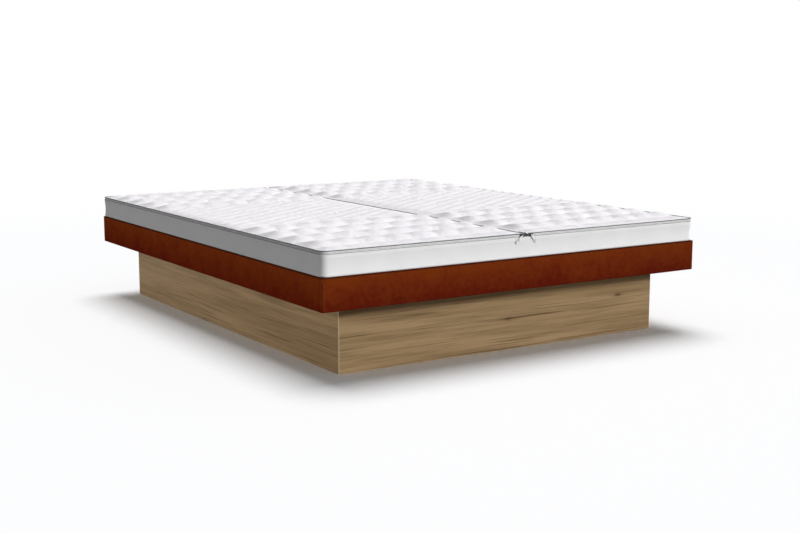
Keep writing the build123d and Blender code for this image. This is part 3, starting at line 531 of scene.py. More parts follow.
def leatherette(name):
    finish = Finish(name, specular_ior_level=0.0)
    plain = finish.place()
    height = finish.axes(plain)[2]
    cloud = finish.noise(plain, 14.0, 4.0, 0.6)
    mottle = finish.noise(plain, 52.0, 5.0, 0.7)
    # Painted light: the colour runs from darker at the bottom of the sleeve to lighter at the top, as light
    # from above would make it, with real cloudy and mottled blotches of tone laid over that.
    up = finish.span(height, rail_low.z - 0.004, rail_high.z) + (cloud - 0.5) * 1.2 + (mottle - 0.5) * 1.5
    colour = finish.blend(finish.span(up, 0.0, 1.0), leather_deep_and_shaded_colour, leather_pale_and_lit_colour)
    # Painted shade: the creases of the grain are darkened.
    creases = finish.span(finish.walls(plain, leather_grain_size), 0.0, 0.12, 1.0, 0.0)
    colour = finish.blend(creases * 0.3, colour, leather_crease_shade_colour)
    # Painted highlight: the rounded edges and corners, where the surface is most pointed, are made paler.
    edge = finish.node("ShaderNodeNewGeometry", out="Pointiness")
    edge_highlight = finish.span(edge, 0.53, 0.60)
    colour = finish.blend(edge_highlight * 0.55, colour, leather_edge_highlight_colour)
    # Painted shadow: a dark band along the top few millimetres of the sleeve, under the border's edge.
    top_shadow = finish.span(height, rail_high.z - 0.007, rail_high.z - 0.003)
    colour = finish.blend(top_shadow * 0.7, colour, leather_top_shadow_colour)
    finish.wear(base_color=colour, roughness=0.50 + 0.14 * mottle)
    return finish.relief(creases * -1.0 + 0.5 * mottle, 0.00018, 0.5)


stitch_pitch = 0.0072
corner_stitch = (0.0050, 0.00042, 0.0003)
red_brown = leatherette("red_brown_leatherette")
thread_brown = Finish("brown_thread", roughness=0.7)
lay = thread_brown.node("ShaderNodeTexNoise", {}, {"Vector": thread_brown.place(), "Scale": 900.0})
thread_brown.wear(base_color=thread_brown.blend(lay, (0.17, 0.04, 0.012), (0.30, 0.09, 0.03)))
for side, (half_run, place) in sides.items():
    sleeve = add_piece(f"leatherette_sleeve_{side}", *rail_sleeve(side), red_brown, "bed", "leatherette",
                       [f"rail_leatherette_{side}"])
    lit["skirts"].objects.link(sleeve)
    stitches = []
    for end in (-1, 1):
        run = end * (half_run - corner_cut - stitch_row_from_seam)
        out = Vector((*place(0, -1.0), 0)) - Vector((*place(0, 0.0), 0))
        for i in range(int((rail_high.z - rail_low.z - 0.012) / stitch_pitch)):
            z = rail_low.z + 0.008 + (i + 0.5) * stitch_pitch
            depth = rail_crown * ((z - (rail_low.z + rail_high.z) / 2) / (rail_high.z - rail_low.z) * 2) ** 4
            spot = Vector((*place(run, depth), z))
            stitches.append(stitch(spot, up, out, *corner_stitch))
    add_piece(f"corner_stitching_{side}", *join_parts(stitches), thread_brown, "bed", "leatherette")


# The plain cover border: white double-knit jersey sewn in one band round the mattress, hemmed
# at the top and curled under over the rails. It is held in a little by the foam lip behind it.
cover_low, cover_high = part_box("cover_border")
border_inset = half_width - cover_high.x
border_corner_radius = 0.028
border_curl = 0.0065
border_pinch = 0.003
border_fabric = 0.0025
border_hem = 0.0085
border_bottom = rail_high.z + 0.0004
border_wall = rail_thickness + 0.0005


def rounded_outline(inset, step, corner_steps=14):
    """Places round the mattress at an inset, each with its outward direction and its run."""
    x, y = half_width - inset, half_length - inset
    r = border_corner_radius - (inset - border_inset)
    corners = [(x - r, r - y, -90), (x - r, y - r, 0), (r - x, y - r, 90), (r - x, r - y, 180)]
    stops = []
    for i, (cx, cy, start) in enumerate(corners):
        for px, py in arc((cx, cy), r, start, start + 90, corner_steps):
            stops.append((px, py, (px - cx) / r, (py - cy) / r))
        nx, ny, turn = corners[(i + 1) % 4]
        first = arc((nx, ny), r, turn, turn, 1)[0]
        length = math.dist(stops[-1][:2], first)
        count = max(2, round(length / step))
        ax, ay, ox, oy = stops[-1]
        for k in range(1, count):
            share = k / count
            stops.append((ax + (first[0] - ax) * share, ay + (first[1] - ay) * share, ox, oy))
    places, run = [], 0.0
    for i, stop in enumerate(stops):
        if i:
            run += math.dist(stop[:2], stops[i - 1][:2])
        places.append((Vector((stop[0], stop[1], 0)), Vector((stop[2], stop[3], 0)), run))
    return places


def swell(run, z, seed):
    """A slow uneven ripple of cloth, from -1 to 1, that closes up round the bed."""
    total = 0.0
    for k, (turns, lean) in enumerate(((23, 19), (41, 31), (67, 57), (97, 83))):
        total += math.sin(run * turns / 7.82 * math.tau + lean * z + seed * (k + 1)) / (1 + k)
    return total / 2.1


def border_section():
    """Inset and height of the border's outline, its outer side first."""
    d, t, low = border_inset, border_fabric, border_bottom
    top = cover_high.z
    hem = top - border_hem
    curl_top = low + border_curl
    outer = [(border_wall, cover_low.z), (border_wall, (cover_low.z + low) / 2), (border_wall, low),
             ((border_wall + d + border_curl) / 2, low)]
    outer += arc((d + border_curl, curl_top), border_curl, 270, 180, 7)
    side = []
    for share in row_of(0, 1, 20)[1:]:
        drawn = border_pinch * math.sin(math.pi * share) ** 0.85
        side.append((d + drawn, curl_top + (hem - curl_top) * share))
    strip = [(d + 0.0007, hem + 0.0004), (d + 0.0001, hem + 0.0012), (d, hem + 0.0035),
             (d + 0.0002, top - 0.001), (d + 0.0008, top)]
    inner = [(d + t - 0.0004, top), (d + t, hem)]
    inner += [(d + t + border_pinch * math.sin(math.pi * share), curl_top + (hem - curl_top) * share)
              for share in (0.75, 0.5, 0.25, 0.0)]
    inner += arc((d + border_curl, curl_top), border_curl - t, 180, 270, 4)[1:]
    inner += [(border_wall + t, low + t), (border_wall + t, cover_low.z)]
    return outer + side + strip + inner, len(outer), len(outer) + len(side)


def wrap_border():
    section, first_side, last_side = border_section()
    rings = []
    for place, out, run in rounded_outline(border_inset, 0.011):
        ring = []
        for k, (inset, z) in enumerate(section):
            fullness = 0.0
            if first_side - 3 <= k < last_side:
                share = (k - first_side + 3) / (last_side - first_side + 3)
                loose = math.sin(math.pi * min(1, share * 1.05))
                fullness = loose * (0.00045 * swell(run, z, 1.7) + 0.00022 * swell(run * 3 + 40 * z, z, 4.1))
            ring.append(tuple(place + out * (border_inset - inset + fullness) + up * z))
        rings.append(ring)
    return skin_over(rings, joined=True)


knit_loop = 0.0011
cover_white = (0.845, 0.84, 0.838)
cover_shade = (0.79, 0.785, 0.785)


def knit_cloth(name, white, shade, loop, depth, sheen=0.15):
    """Fine jersey: rows of loops leaning both ways, a little cloudy in tone."""
    finish = Finish(name, roughness=0.92, sheen_weight=sheen, sheen_roughness=0.6, specular_ior_level=0.2)
    plain = finish.place()
    x, y, z = finish.axes(plain)
    wave = finish.maths("SINE", (x + y) * (math.tau / loop))
    rows = finish.maths("SINE", (z + y - x) * (math.tau / loop) + wave * 1.2)
    cloud = finish.noise(plain, 9.0, 3.0)
    fuzz = finish.noise(plain, 1400.0, 2.0)
    tone = finish.span(cloud * 0.7 + fuzz * 0.3, 0.3, 0.7)
    finish.wear(base_color=finish.blend(tone, shade, white))
    return finish.relief(rows * 0.5 + fuzz, depth, 0.4)


jersey = knit_cloth("white_jersey", cover_white, cover_shade, knit_loop, 0.00022)
add_piece("mattress_border", *wrap_border(), jersey, "bed", "plain_cover_fabric", ["cover_border"])


# The lower piping: a thin cord in a bias strip of light grey satin, sewn all round into the
# border's top hem.
bias_thread = 0.0008
border_piping_radius = 0.0015
border_piping_inset = border_inset + border_piping_radius - 0.0005
border_piping_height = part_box("border_piping")[1].z - border_piping_radius


def cord_rings(places, height, radius, sides_round=10):
    """Round cord along places, with the slight ribs of a bias strip pulled over it."""
    rings = []
    for place, out, run in places:
        rib = 1 + 0.035 * math.sin(run / 0.0041)
        rings.append([tuple(place + out * (x * rib) + up * (height + z * rib))
                      for x, z in arc((0, 0), radius, 0, 360 - 360 / sides_round, sides_round - 1)])
    return rings


def bias_strip(name, light, dark):
    """Satin cut on the bias: fine slanting threads with a soft shine."""
    finish = Finish(name, roughness=0.62, sheen_weight=0.1, specular_ior_level=0.35)
    plain = finish.place()
    x, y, z = finish.axes(plain)
    threads = finish.maths("SINE", (x + y + z) * (math.tau / bias_thread))
    cloud = finish.noise(plain, 60.0, 2.0)
    finish.wear(base_color=finish.blend(finish.span(cloud + threads * 0.15, 0.3, 0.7), dark, light))
    return finish.relief(threads, 0.00008, 0.4)


light_piping = bias_strip("light_grey_bias_strip", (0.38, 0.38, 0.385), (0.31, 0.31, 0.315))
lower_path = rounded_outline(border_piping_inset, 0.004, 24)
lower_cord = skin_over(cord_rings(lower_path, border_piping_height, border_piping_radius), joined=True)
add_piece("lower_piping", *lower_cord, light_piping, "bed", "piping", ["border_piping"])


# The cover's base sheet: one layer of tough white ticking laid on the deck, sewn to the foot
# of the border all round, with two holes for the heater leads.
def softened(node, pitch, rounding, give):
    """A soft piece's packed form, with rounded edges and a skin fine enough to lie unevenly."""
    form = bmesh.new()
    form.from_mesh(nodes[node].data)
    bmesh.ops.remove_doubles(form, verts=form.verts, dist=1e-6)
    bmesh.ops.dissolve_limit(form, angle_limit=0.01, verts=form.verts, edges=form.edges)
    if rounding:
        sharp = [e for e in form.edges if len(e.link_faces) == 2 and e.calc_face_angle(0) > 0.6]
        bmesh.ops.bevel(form, geom=sharp, offset=rounding, segments=3, profile=0.5, affect="EDGES",
                        clamp_overlap=True)
    for axis in range(3):
        levels = [v.co[axis] for v in form.verts]
        low, high = min(levels), max(levels)
        count = int((high - low) / pitch)
        across = Vector([float(k == axis) for k in range(3)])
        for i in range(1, count + 1):
            spot = across * (low + (high - low) * i / (count + 1))
            geometry = form.verts[:] + form.edges[:] + form.faces[:]
            bmesh.ops.bisect_plane(form, geom=geometry, dist=1e-7, plane_co=spot, plane_no=across)
    bmesh.ops.triangulate(form, faces=[f for f in form.faces if len(f.verts) > 4])
    form.verts.index_update()
    points = [give(v.co) for v in form.verts]
    faces = [tuple(v.index for v in f.verts) for f in form.faces]
    form.free()
    return points, faces


def uneven(point, size, seed):
    """A slow unevenness at a point, from -1 to 1."""
    total = 0.0
    for k in (1, 2, 3):
        turn = seed * 2.3 + k * 1.7
        run = point.x * math.cos(turn) + point.y * math.sin(turn) + point.z
        total += math.sin(run * k / size + turn) / k
    return total / 1.84


def rumple(depth, size, seed):
    return lambda p: (p.x, p.y, p.z + depth * uneven(p, size, seed))


ticking = knit_cloth("white_ticking", (0.78, 0.775, 0.76), (0.70, 0.695, 0.68), 0.0024, 0.0003)
laid = softened("cover_base_sheet", 0.04, 0.0005, rumple(0.00012, 0.03, 2))
base_sheet = add_piece("base_sheet", *laid, ticking, "bed", "plain_cover_fabric", ["cover_base_sheet"])


# The foam frame: four mitred sides of firm cut foam. Their lip rests over the rails, and a
# foam wall parts the two chambers. A thin insulating mat lies over the base sheet.
def cut_foam(name, pale, shade, cell):
    """Open-cell foam as a hot wire leaves it."""
    finish = Finish(name, specular_ior_level=0.1, sheen_weight=0.1)
    place = finish.place()
    pit = finish.span(finish.walls(place, cell), 0.02, 0.25)
    cloud = finish.noise(place, 18.0, 3.0)
    finish.wear(base_color=finish.blend(pit * 0.6 + cloud * 0.4, pale, shade),
                roughness=0.88 + 0.08 * pit)
    return finish.relief(pit * -1.0, 0.0004, 0.5)


frame_foam = cut_foam("cream_frame_foam", (0.76, 0.73, 0.62), (0.66, 0.62, 0.50), 900.0)
mat_foam = cut_foam("grey_insulating_foam", (0.40, 0.42, 0.44), (0.32, 0.335, 0.35), 1300.0)


def add_foam(name, node, finish, slot, pitch, rounding, slack, seed):
    """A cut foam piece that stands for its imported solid."""
    def give(p):
        lift = slack * uneven(p, 0.022, seed)
        return (p.x + lift * 0.5, p.y - lift * 0.4, p.z + lift)
    piece = add_piece(name, *softened(node, pitch, rounding, give), finish, "bed", slot, [node])
    return piece


for k, side in enumerate(sides):
    add_foam(f"foam_side_{side}", f"foam_frame_{side}", frame_foam, "foam", 0.045, 0.004, 0.00018, k)
add_foam("foam_middle_wall", "centre_foam_wall", frame_foam, "foam", 0.045, 0.003, 0.00018, 5)
add_foam("insulating_mat", "insulation_mat", mat_foam, "insulation", 0.06, 0.0012, 0.00012, 7)


# The heater pads: printed carbon tracks sealed between two films, one pad under each
# bladder, with a tail to the lead.
heater_track_pitch = 0.016


def heater_film(name):
    """Dark film with even printed tracks along it."""
    finish = Finish(name, specular_ior_level=0.4)
    place = finish.place()
    wave = finish.maths("SINE", finish.axes(place)[0] * (math.tau / heater_track_pitch))
    track = finish.span(wave, 0.1, 0.35)
    haze = finish.noise(place, 60.0, 3.0)
    colour = finish.blend(track * 0.8, (0.055, 0.055, 0.06), (0.012, 0.012, 0.013))
    finish.wear(base_color=finish.blend(haze * 0.2, colour, (0.12, 0.12, 0.125)),
                roughness=0.30 + 0.2 * haze)
    return finish.relief(track, 0.00015, 0.4)


film = heater_film("heater_film")
for side in ("left", "right"):
    pad = softened(f"heater_pad_{side}", 0.05, 0.0004, rumple(0.00015, 0.03, 4))
    add_piece(f"heater_{side}", *pad, film, "bed", "heater_foil", [f"heater_pad_{side}"])


# Safety liners, and the two bladders of welded vinyl inside them, each filled with water.
# The vinyl lies in slow wrinkles over the water, with a welded dip for the filling valve.
valve_spot = (0.400, -0.850)
valve_dip_radius = 0.045
valve_dip_slope = 0.05
wave_depth = 0.0022
wrinkle_depth = 0.0016
bladder_low, bladder_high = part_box("water_bladder_right")


def sink(point):
    """Lets a point of the bladder down by what its slack top lies under its highest level."""
    rise = (point.z - bladder_low.z) / (bladder_high.z - bladder_low.z)
    from_valve = math.hypot(abs(point.x) - valve_spot[0], point.y - valve_spot[1])
    clear = min(1.0, max(0.0, (from_valve - valve_dip_radius) / valve_dip_slope))
    free = clear * max(0.0, (rise - 0.55) / 0.45)
    wave = 0.5 + 0.5 * uneven(point, 0.075, 3 if point.x < 0 else 6)
    fold = max(0.0, uneven(point, 0.03, 8)) ** 3
    return (point.x, point.y, point.z - free * (wave_depth * wave + wrinkle_depth * fold))


def vinyl_film(name, colour, deep, roughness):
    """Calendered vinyl: a faint emboss under a soft shine."""
    finish = Finish(name, specular_ior_level=0.5, coat_weight=0.15, coat_roughness=0.3)
    place = finish.place()
    cloud = finish.noise(place, 7.0, 3.0)
    emboss = finish.node("ShaderNodeTexVoronoi", {}, {"Vector": place, "Scale": 700.0})
    finish.wear(base_color=finish.blend(cloud, deep, colour), roughness=roughness + 0.15 * cloud)
    return finish.relief(emboss, 0.00008, 0.4)


liner_vinyl = vinyl_film("liner_vinyl", (0.52, 0.56, 0.60), (0.42, 0.46, 0.50), 0.42)
bladder_vinyl = vinyl_film("bladder_vinyl", (0.20, 0.36, 0.55), (0.12, 0.25, 0.43), 0.30)
water = Finish("conditioned_water", transmission_weight=1.0, ior=1.333)
murk = water.noise(water.place(), 3.0, 2.0)
water.wear(base_color=water.blend(murk, (0.82, 0.93, 0.97), (0.90, 0.97, 0.99)),
           roughness=0.02 + 0.02 * murk)
for side in ("left", "right"):
    liner = softened(f"safety_liner_{side}", 0.06, 0, tuple)
    add_piece(f"liner_{side}", *liner, liner_vinyl, "bed", "liner_vinyl", [f"safety_liner_{side}"])
    bag = softened(f"water_bladder_{side}", 0.03, 0, sink)
    bladder = add_piece(f"bladder_{side}", *bag, bladder_vinyl, "bed", "bladder_vinyl",
                        [f"water_bladder_{side}"])
    fill = softened(f"water_fill_{side}", 0.03, 0, sink)
    add_piece(f"water_{side}", *fill, water, "bed", "water", [f"water_fill_{side}"])


# The stabilising mats: polyester fibre needled into a loose felt, one floating in each
# bladder to calm the waves.
def needled_fibre(name):
    finish = Finish(name, specular_ior_level=0.1, sheen_weight=0.3, sheen_roughness=0.7)
    place = finish.place()
    strand = finish.noise(place, 380.0, 6.0, 0.75, 1.4)
    clump = finish.noise(place, 30.0, 3.0)
    tuft = strand * 0.6 + clump * 0.4
    finish.wear(base_color=finish.blend(tuft, (0.70, 0.72, 0.74), (0.86, 0.87, 0.88)),
                roughness=0.9 + 0.08 * strand)
    return finish.relief(strand, 0.0012, 0.6)


felt = softened("stabiliser_mats", 0.04, 0.005, rumple(0.0003, 0.008, 9))
fibre = needled_fibre("needled_fibre")
fibre_mats = add_piece("fibre_mats", *felt, fibre, "bed", "fibre", ["stabiliser_mats"])


# The filling valves, flanged necks of rigid plastic welded into the bladders, and their
# screw caps with finger grooves.
valve_white = moulded_plastic("valve_white", (0.74, 0.75, 0.76), 0.32)
cap_blue = moulded_plastic("cap_blue", (0.055, 0.16, 0.36), 0.34)
for side in ("left", "right"):
    valve_white.dress(nodes[f"filling_valve_{side}"])
    cap_blue.dress(nodes[f"valve_cap_{side}"])


# The perimeter zip: two white tapes with moulded nylon teeth, one sewn behind the border's
# hem and one under the quilted covers' edge, whose teeth mesh half and half.
zip_pitch = 0.0028
zip_tape = 0.001
zip_box_low, zip_box_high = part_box("perimeter_zip_right")
zip_inset = half_width - zip_box_high.x + 0.002
zip_middle = zip_box_high.z - 0.0025
zip_tape_low = zip_box_low.z
zip_tape_high = zip_middle + 0.0036
zip_gap = 0.008
tooth_root = 0.0019
tape_edge = 0.0017


tooth_profile = ((0, 0.0009, 0.0012), (0.0012, 0.00055, 0.0015), (0.0021, 0.00095, 0.0017),
                 (0.0027, 0.0006, 0.0010))


def tooth(base, along, up):
    """One nylon tooth: a waisted peg that widens into a rounded head."""
    across = along.cross(up)
    rings = []
    for rise, half_long, half_deep in tooth_profile:
        centre = base + up * rise
        rings.append([tuple(centre + along * (a * half_long) + across * (b * half_deep))
                      for a, b in ((1, 1), (-1, 1), (-1, -1), (1, -1))])
    return skin_over(rings)


def evenly_along(places, pitch, shift=0.0):
    """Spots at an even pitch on a path, each with its course."""
    spots, travelled, due = [], 0.0, shift
    for (a, _, _), (b, _, _) in zip(places, places[1:]):
        length = (b - a).length
        while due <= travelled + length:
            share = (due - travelled) / length
            spots.append((a.lerp(b, share), (b - a).normalized()))
            due += pitch
        travelled += length
    return spots


def half_way_round(sign, inset, step):
    """One half's part of the outline, from the foot's middle to the head's."""
    run = [(p, o, r) for p, o, r in rounded_outline(inset, step, 24) if sign * p.x > zip_gap]
    start = max(range(len(run)), key=lambda k: (run[k][0] - run[k - 1][0]).length)
    return run[start:] + run[:start]


def tape_rings(places, low, high, thick):
    """A woven tape on edge."""
    section = ((1, low), (1, low + 0.15 * (high - low)), (1, high), (-1, high), (-1, low))
    return skin_over([[tuple(place + out * (side * thick / 2) + up * level) for side, level in section]
                      for place, out, _ in places])


white_tape = knit_cloth("white_zip_tape", (0.93, 0.93, 0.93), (0.88, 0.88, 0.88), 0.0009, 0.00012)
white_nylon = moulded_plastic("white_nylon", (0.80, 0.80, 0.805), 0.36)
halves = (("left", -1), ("right", 1))
to_head = Vector((0, 1, 0))
for side, sign in halves:
    course = half_way_round(sign, zip_inset, 0.006)
    lower_tape = tape_rings(course, zip_tape_low, zip_middle - tape_edge, zip_tape)
    upper_tape = tape_rings(course, zip_middle + tape_edge, zip_tape_high, zip_tape)
    for level, tape, body, stands_for, turned, shift in (
            ("lower", lower_tape, "bed", [f"perimeter_zip_{side}"], -1, 0.0),
            ("upper", upper_tape, "top_cover", [], 1, zip_pitch / 2)):
        row = [tooth(p + up * (zip_middle + turned * tooth_root), along, up * -turned)
               for p, along in evenly_along(course, zip_pitch, shift)]
        add_piece(f"zip_{level}_tape_{side}", *tape, white_tape, body, "zip_nylon", stands_for)
        add_piece(f"zip_{level}_teeth_{side}", *join_parts(row), white_nylon, body, "zip_nylon",
                  smooth=False)


# The quilted covers: two zip-off tops of white jersey quilted to fleece. Big soft rows at
# head and foot, divided into eight pillows each, and small staggered pillows across the
# middle of the bed.
quilt_low, quilt_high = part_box("top_cover_right")
quilt_inner = quilt_low.x
quilt_outer = quilt_high.x
quilt_end = quilt_high.y
quilt_inset = half_width - quilt_outer
quilt_seam = quilt_low.z + 0.014
quilt_columns = 8
big_row = 0.157
big_rows = 4
fine_zone = 0.760
fine_rows = 20
fine_base = 0.006
fine_relief = 0.0052
fine_sink = 0.0016
zone_blend = 0.012
crown_height = 0.0200
column_dimple = 0.0052
channel_height = 0.0014
channel_swell = 0.0008
last_row_rise = 0.62
pillow_end = 0.090
small_pillow_end = 0.6 * pillow_end
pillow_end_power = 0.85
seam_slope = 0.080
seam_power = 1.4
ridge_lean = 1.5
arch_power = 1.8
cloth_grid = (74, 182)
cloth_steps = 18
cloth_jitter = 0.00015
cloth_slack = 0.035
cloth_pressure = 1.5
cloth_cap = 0.0010
edge_rise = 0.0005
pucker_waves = 14
pucker_height = 0.0003
quilt_step = 0.0062
column_width = (quilt_outer - quilt_inner) / quilt_columns


def soft_step(share):
    share = np.clip(share, 0, 1)
    return share * share * (3 - 2 * share)


def quilt_fill(x, y):
    """Height of the pillows over the seam level, in metres, at |x| and y."""
    column = (x - quilt_inner) / column_width
    middle = 0.5 - 0.5 * np.cos(2 * np.pi * column)
    from_zone = np.abs(y) - fine_zone / 2
    row = np.clip(np.floor(from_zone / big_row), 0, big_rows)
    start = row * big_row
    length = np.where(row < big_rows, big_row, quilt_end - fine_zone / 2 - big_rows * big_row)
    v = np.clip((from_zone - start) / length, 0, 1)
    v = np.where(y < 0, v ** ridge_lean, 1 - (1 - v) ** ridge_lean)
    rise = np.where(row < big_rows, 1.0, last_row_rise)
    arch = 1 - np.abs(2 * v - 1) ** arch_power
    crown = (crown_height - column_dimple * (1 - middle) ** 0.8) * rise
    channel = channel_height + channel_swell * middle
    big = channel + (crown - channel) * arch
    small_row = y * fine_rows / fine_zone
    across = 0.5 - 0.5 * np.cos(2 * np.pi * small_row)
    along = 0.5 + 0.5 * np.cos(2 * np.pi * column + np.pi * (np.floor(small_row) % 2))
    fine = fine_base - fine_sink + (fine_relief + fine_sink) * across ** 0.75 * (0.5 + 0.5 * along)
    share = soft_step(from_zone / zone_blend + 0.5)
    return fine * (1 - share) + big * share


def quilt_edge(x, y):
    """Share of the full height near the outline, rising like the end of a pillow."""
    r = border_corner_radius - (quilt_inset - border_inset)
    cx, cy = x - (quilt_outer - r), np.abs(y) - (quilt_end - r)
    in_corner = (cx > 0) & (cy > 0)
    to_edge = np.minimum(quilt_outer - x, quilt_end - np.abs(y))
    to_edge = np.where(in_corner, r - np.hypot(cx, cy), to_edge)
    small = np.abs(y) < fine_zone / 2
    deep = np.clip(to_edge / np.where(small, small_pillow_end, pillow_end), 0, 1)
    from_seam = np.clip((x - quilt_inner) / seam_slope, 0, 1)
    return np.sin(np.pi / 2 * deep) ** pillow_end_power * np.sin(np.pi / 2 * from_seam) ** seam_power


def quilt_height(x, y):
    return quilt_seam + edge_rise + (quilt_fill(x, y) - edge_rise) * quilt_edge(x, y)


def quilt_plan(inset_outer, inset_inner):
    """A grid over one half's plan whose outer corners are drawn in to their arcs."""
    x0, x1 = quilt_inner + inset_inner, quilt_outer - inset_outer
    y1 = quilt_end - inset_outer
    r = border_corner_radius - (quilt_inset - border_inset) - inset_outer
    xs = np.linspace(x0, x1, round((quilt_outer - quilt_inner) / quilt_step) + 1)
    ys = np.linspace(-y1, y1, round(2 * quilt_end / quilt_step) + 1)
    x, y = np.meshgrid(xs, ys, indexing="ij")
    cx, cy = x - (x1 - r), np.abs(y) - (y1 - r)
    square = np.maximum(cx, cy)
    round_off = np.where((cx > 0) & (cy > 0), square / np.maximum(np.hypot(cx, cy), 1e-9), 1.0)
    x = np.where((cx > 0) & (cy > 0), x1 - r + cx * round_off, x)
    y = np.where((cx > 0) & (cy > 0), np.sign(y) * (y1 - r + cy * round_off), y)
    return x, y


def quilt_puckers(x, y, seed):
    """Small gathers that run out from the sewn channels and from the outline."""
    noise = random.Random(seed)
    total = np.zeros_like(x)
    for _ in range(pucker_waves):
        fx, fy = noise.uniform(150, 420), noise.uniform(-60, 60)
        total += np.sin(fx * x + fy * y + noise.uniform(0, 6.28)) / pucker_waves ** 0.5
    from_zone = np.abs(y) - fine_zone / 2
    v = np.abs(((from_zone / big_row + 0.5) % 1) - 0.5) * big_row
    near_channel = np.exp(-(v / 0.016) ** 2) * (1 - np.exp(-(v / 0.005) ** 2)) * (from_zone > -0.004)
    to_edge = np.minimum(np.minimum(quilt_outer - x, x - quilt_inner), quilt_end - np.abs(y))
    along_side = np.sin(np.where(quilt_end - np.abs(y) < 0.05, x, y) * 330 + 2 * total)
    near_edge = np.exp(-((to_edge - 0.016) / 0.011) ** 2)
    return pucker_height * (total * near_channel + along_side * near_edge)


def settled_cloth(sign, seed):
    """How far the top cloth moves up or down over its filling, on a coarse grid.

    The cloth is cut a little too large, sewn down along the channels and the outline, and
    blown up from below until it lies in its own puckers.
    """
    columns, rows = cloth_grid
    xs = np.linspace(quilt_inner, quilt_outer, columns)
    ys = np.linspace(-quilt_end, quilt_end, rows)
    x, y = np.meshgrid(xs, ys, indexing="ij")
    z = quilt_height(x, y)
    jitter = np.random.default_rng(seed).normal(0, cloth_jitter, z.shape)
    mesh = bpy.data.meshes.new("cloth_trial")
    mesh.from_pydata([tuple(p) for p in zip(x.ravel(), y.ravel(), (z + jitter).ravel())], [],
                     grid_faces(columns, rows, 0, False))
    trial = bpy.data.objects.new("cloth_trial", mesh)
    bpy.context.scene.collection.objects.link(trial)
    sewn = trial.vertex_groups.new(name="sewn")
    v = ((np.abs(y) - fine_zone / 2) / big_row + 0.5) % 1 - 0.5
    on_channel = (np.abs(v) * big_row < 0.0066) & (np.abs(y) > fine_zone / 2 - 0.01)
    on_edge = (x < xs[1]) | (x > xs[-2]) | (np.abs(y) > ys[-2])
    small = (np.abs(y) < fine_zone / 2 - 0.01) & (quilt_fill(x, y) < fine_base - 0.0002)
    sewn.add([int(k) for k in np.flatnonzero(on_channel | on_edge | small)], 1.0, "REPLACE")
    cloth = trial.modifiers.new("cloth", "CLOTH").settings
    cloth.vertex_group_mass = "sewn"
    cloth.quality = 5
    cloth.mass = 0.3
    cloth.tension_stiffness = 20
    cloth.compression_stiffness = 20
    cloth.bending_stiffness = 0.3
    cloth.shrink_min = -cloth_slack
    cloth.use_pressure = True
    cloth.uniform_pressure_force = cloth_pressure
    cloth.effector_weights.gravity = 0
    for step in range(1, cloth_steps + 1):
        bpy.context.scene.frame_set(step)
    settled = trial.evaluated_get(bpy.context.evaluated_depsgraph_get()).data
    moved = np.empty(columns * rows * 3)
    settled.vertices.foreach_get("co", moved)
    bpy.context.scene.frame_set(1)
    bpy.data.objects.remove(trial)
    lift = moved.reshape(columns, rows, 3)[:, :, 2] - z
    return np.clip(lift, -cloth_cap, cloth_cap)


def between_stops(coarse, columns, rows):
    """A coarse grid's values on a finer one."""
    u = np.linspace(0, coarse.shape[0] - 1, columns)
    v = np.linspace(0, coarse.shape[1] - 1, rows)
    along = np.array([np.interp(v, np.arange(coarse.shape[1]), line) for line in coarse])
    return np.array([np.interp(u, np.arange(coarse.shape[0]), line) for line in along.T]).T


def grid_faces(columns, rows, base, flip):
    corners = [base + i * rows + j for i in range(columns - 1) for j in range(rows - 1)]
    quads = [(a, a + rows, a + rows + 1, a + 1) for a in corners]
    return [quad[::-1] if flip else quad for quad in quads]


def outline_of(columns, rows):
    """Indices round a grid's edge, in order."""
    ring = [j for j in range(rows)]
    ring += [i * rows + rows - 1 for i in range(1, columns)]
    ring += [(columns - 1) * rows + j for j in range(rows - 2, -1, -1)]
    ring += [i * rows for i in range(columns - 2, 0, -1)]
    return ring


def quilted_half(sign, seed):
    """Top, turned edges and backing of one cover, as one closed skin."""
    x, y = quilt_plan(0, 0)
    z = quilt_height(x, y) + quilt_puckers(x, y, seed)
    columns, rows = x.shape
    z = z + between_stops(settled_cloth(sign, seed), columns, rows) * quilt_edge(x, y)
    bx, by = quilt_plan(0.0046, 0.010)
    bz = quilt_low.z + 0.10 * np.maximum(0, 0.009 - quilt_fill(bx, by)) * quilt_edge(bx, by)
    points = [(sign * px, py, pz) for px, py, pz in zip(x.ravel(), y.ravel(), z.ravel())]
    faces = grid_faces(columns, rows, 0, sign < 0)
    loops = [outline_of(columns, rows)]
    for hem_x, hem_y, under_seam in ((x, y, 0.0006), (bx, by, 0.0008)):
        loop = []
        for k in loops[0]:
            i, j = divmod(k, rows)
            loop.append(len(points))
            level = quilt_seam - under_seam - (0.002 if i == 0 else 0)
            points.append((sign * hem_x[i, j], hem_y[i, j], level))
        loops.append(loop)
    base = len(points)
    points += [(sign * px, py, pz) for px, py, pz in zip(bx.ravel(), by.ravel(), bz.ravel())]
    faces += grid_faces(columns, rows, base, sign > 0)
    loops.append([base + k for k in loops[0]])
    for upper, lower in zip(loops, loops[1:]):
        for k in range(len(upper)):
            n = (k + 1) % len(upper)
            quad = (upper[k], upper[n], lower[n], lower[k])
            faces.append(tuple(reversed(quad)) if sign > 0 else quad)
    return points, faces


quilt_white = (0.845, 0.822, 0.852)
quilt_shade = (0.765, 0.745, 0.78)
quilt_cloth = knit_cloth("quilted_white_jersey", quilt_white, quilt_shade, 0.0016, 0.0003, 0.2)
for side, sign in halves:
    cover = add_piece(f"quilted_cover_{side}", *quilted_half(sign, 11 + sign), quilt_cloth, "top_cover",
                      "quilt", [f"top_cover_{side}"])


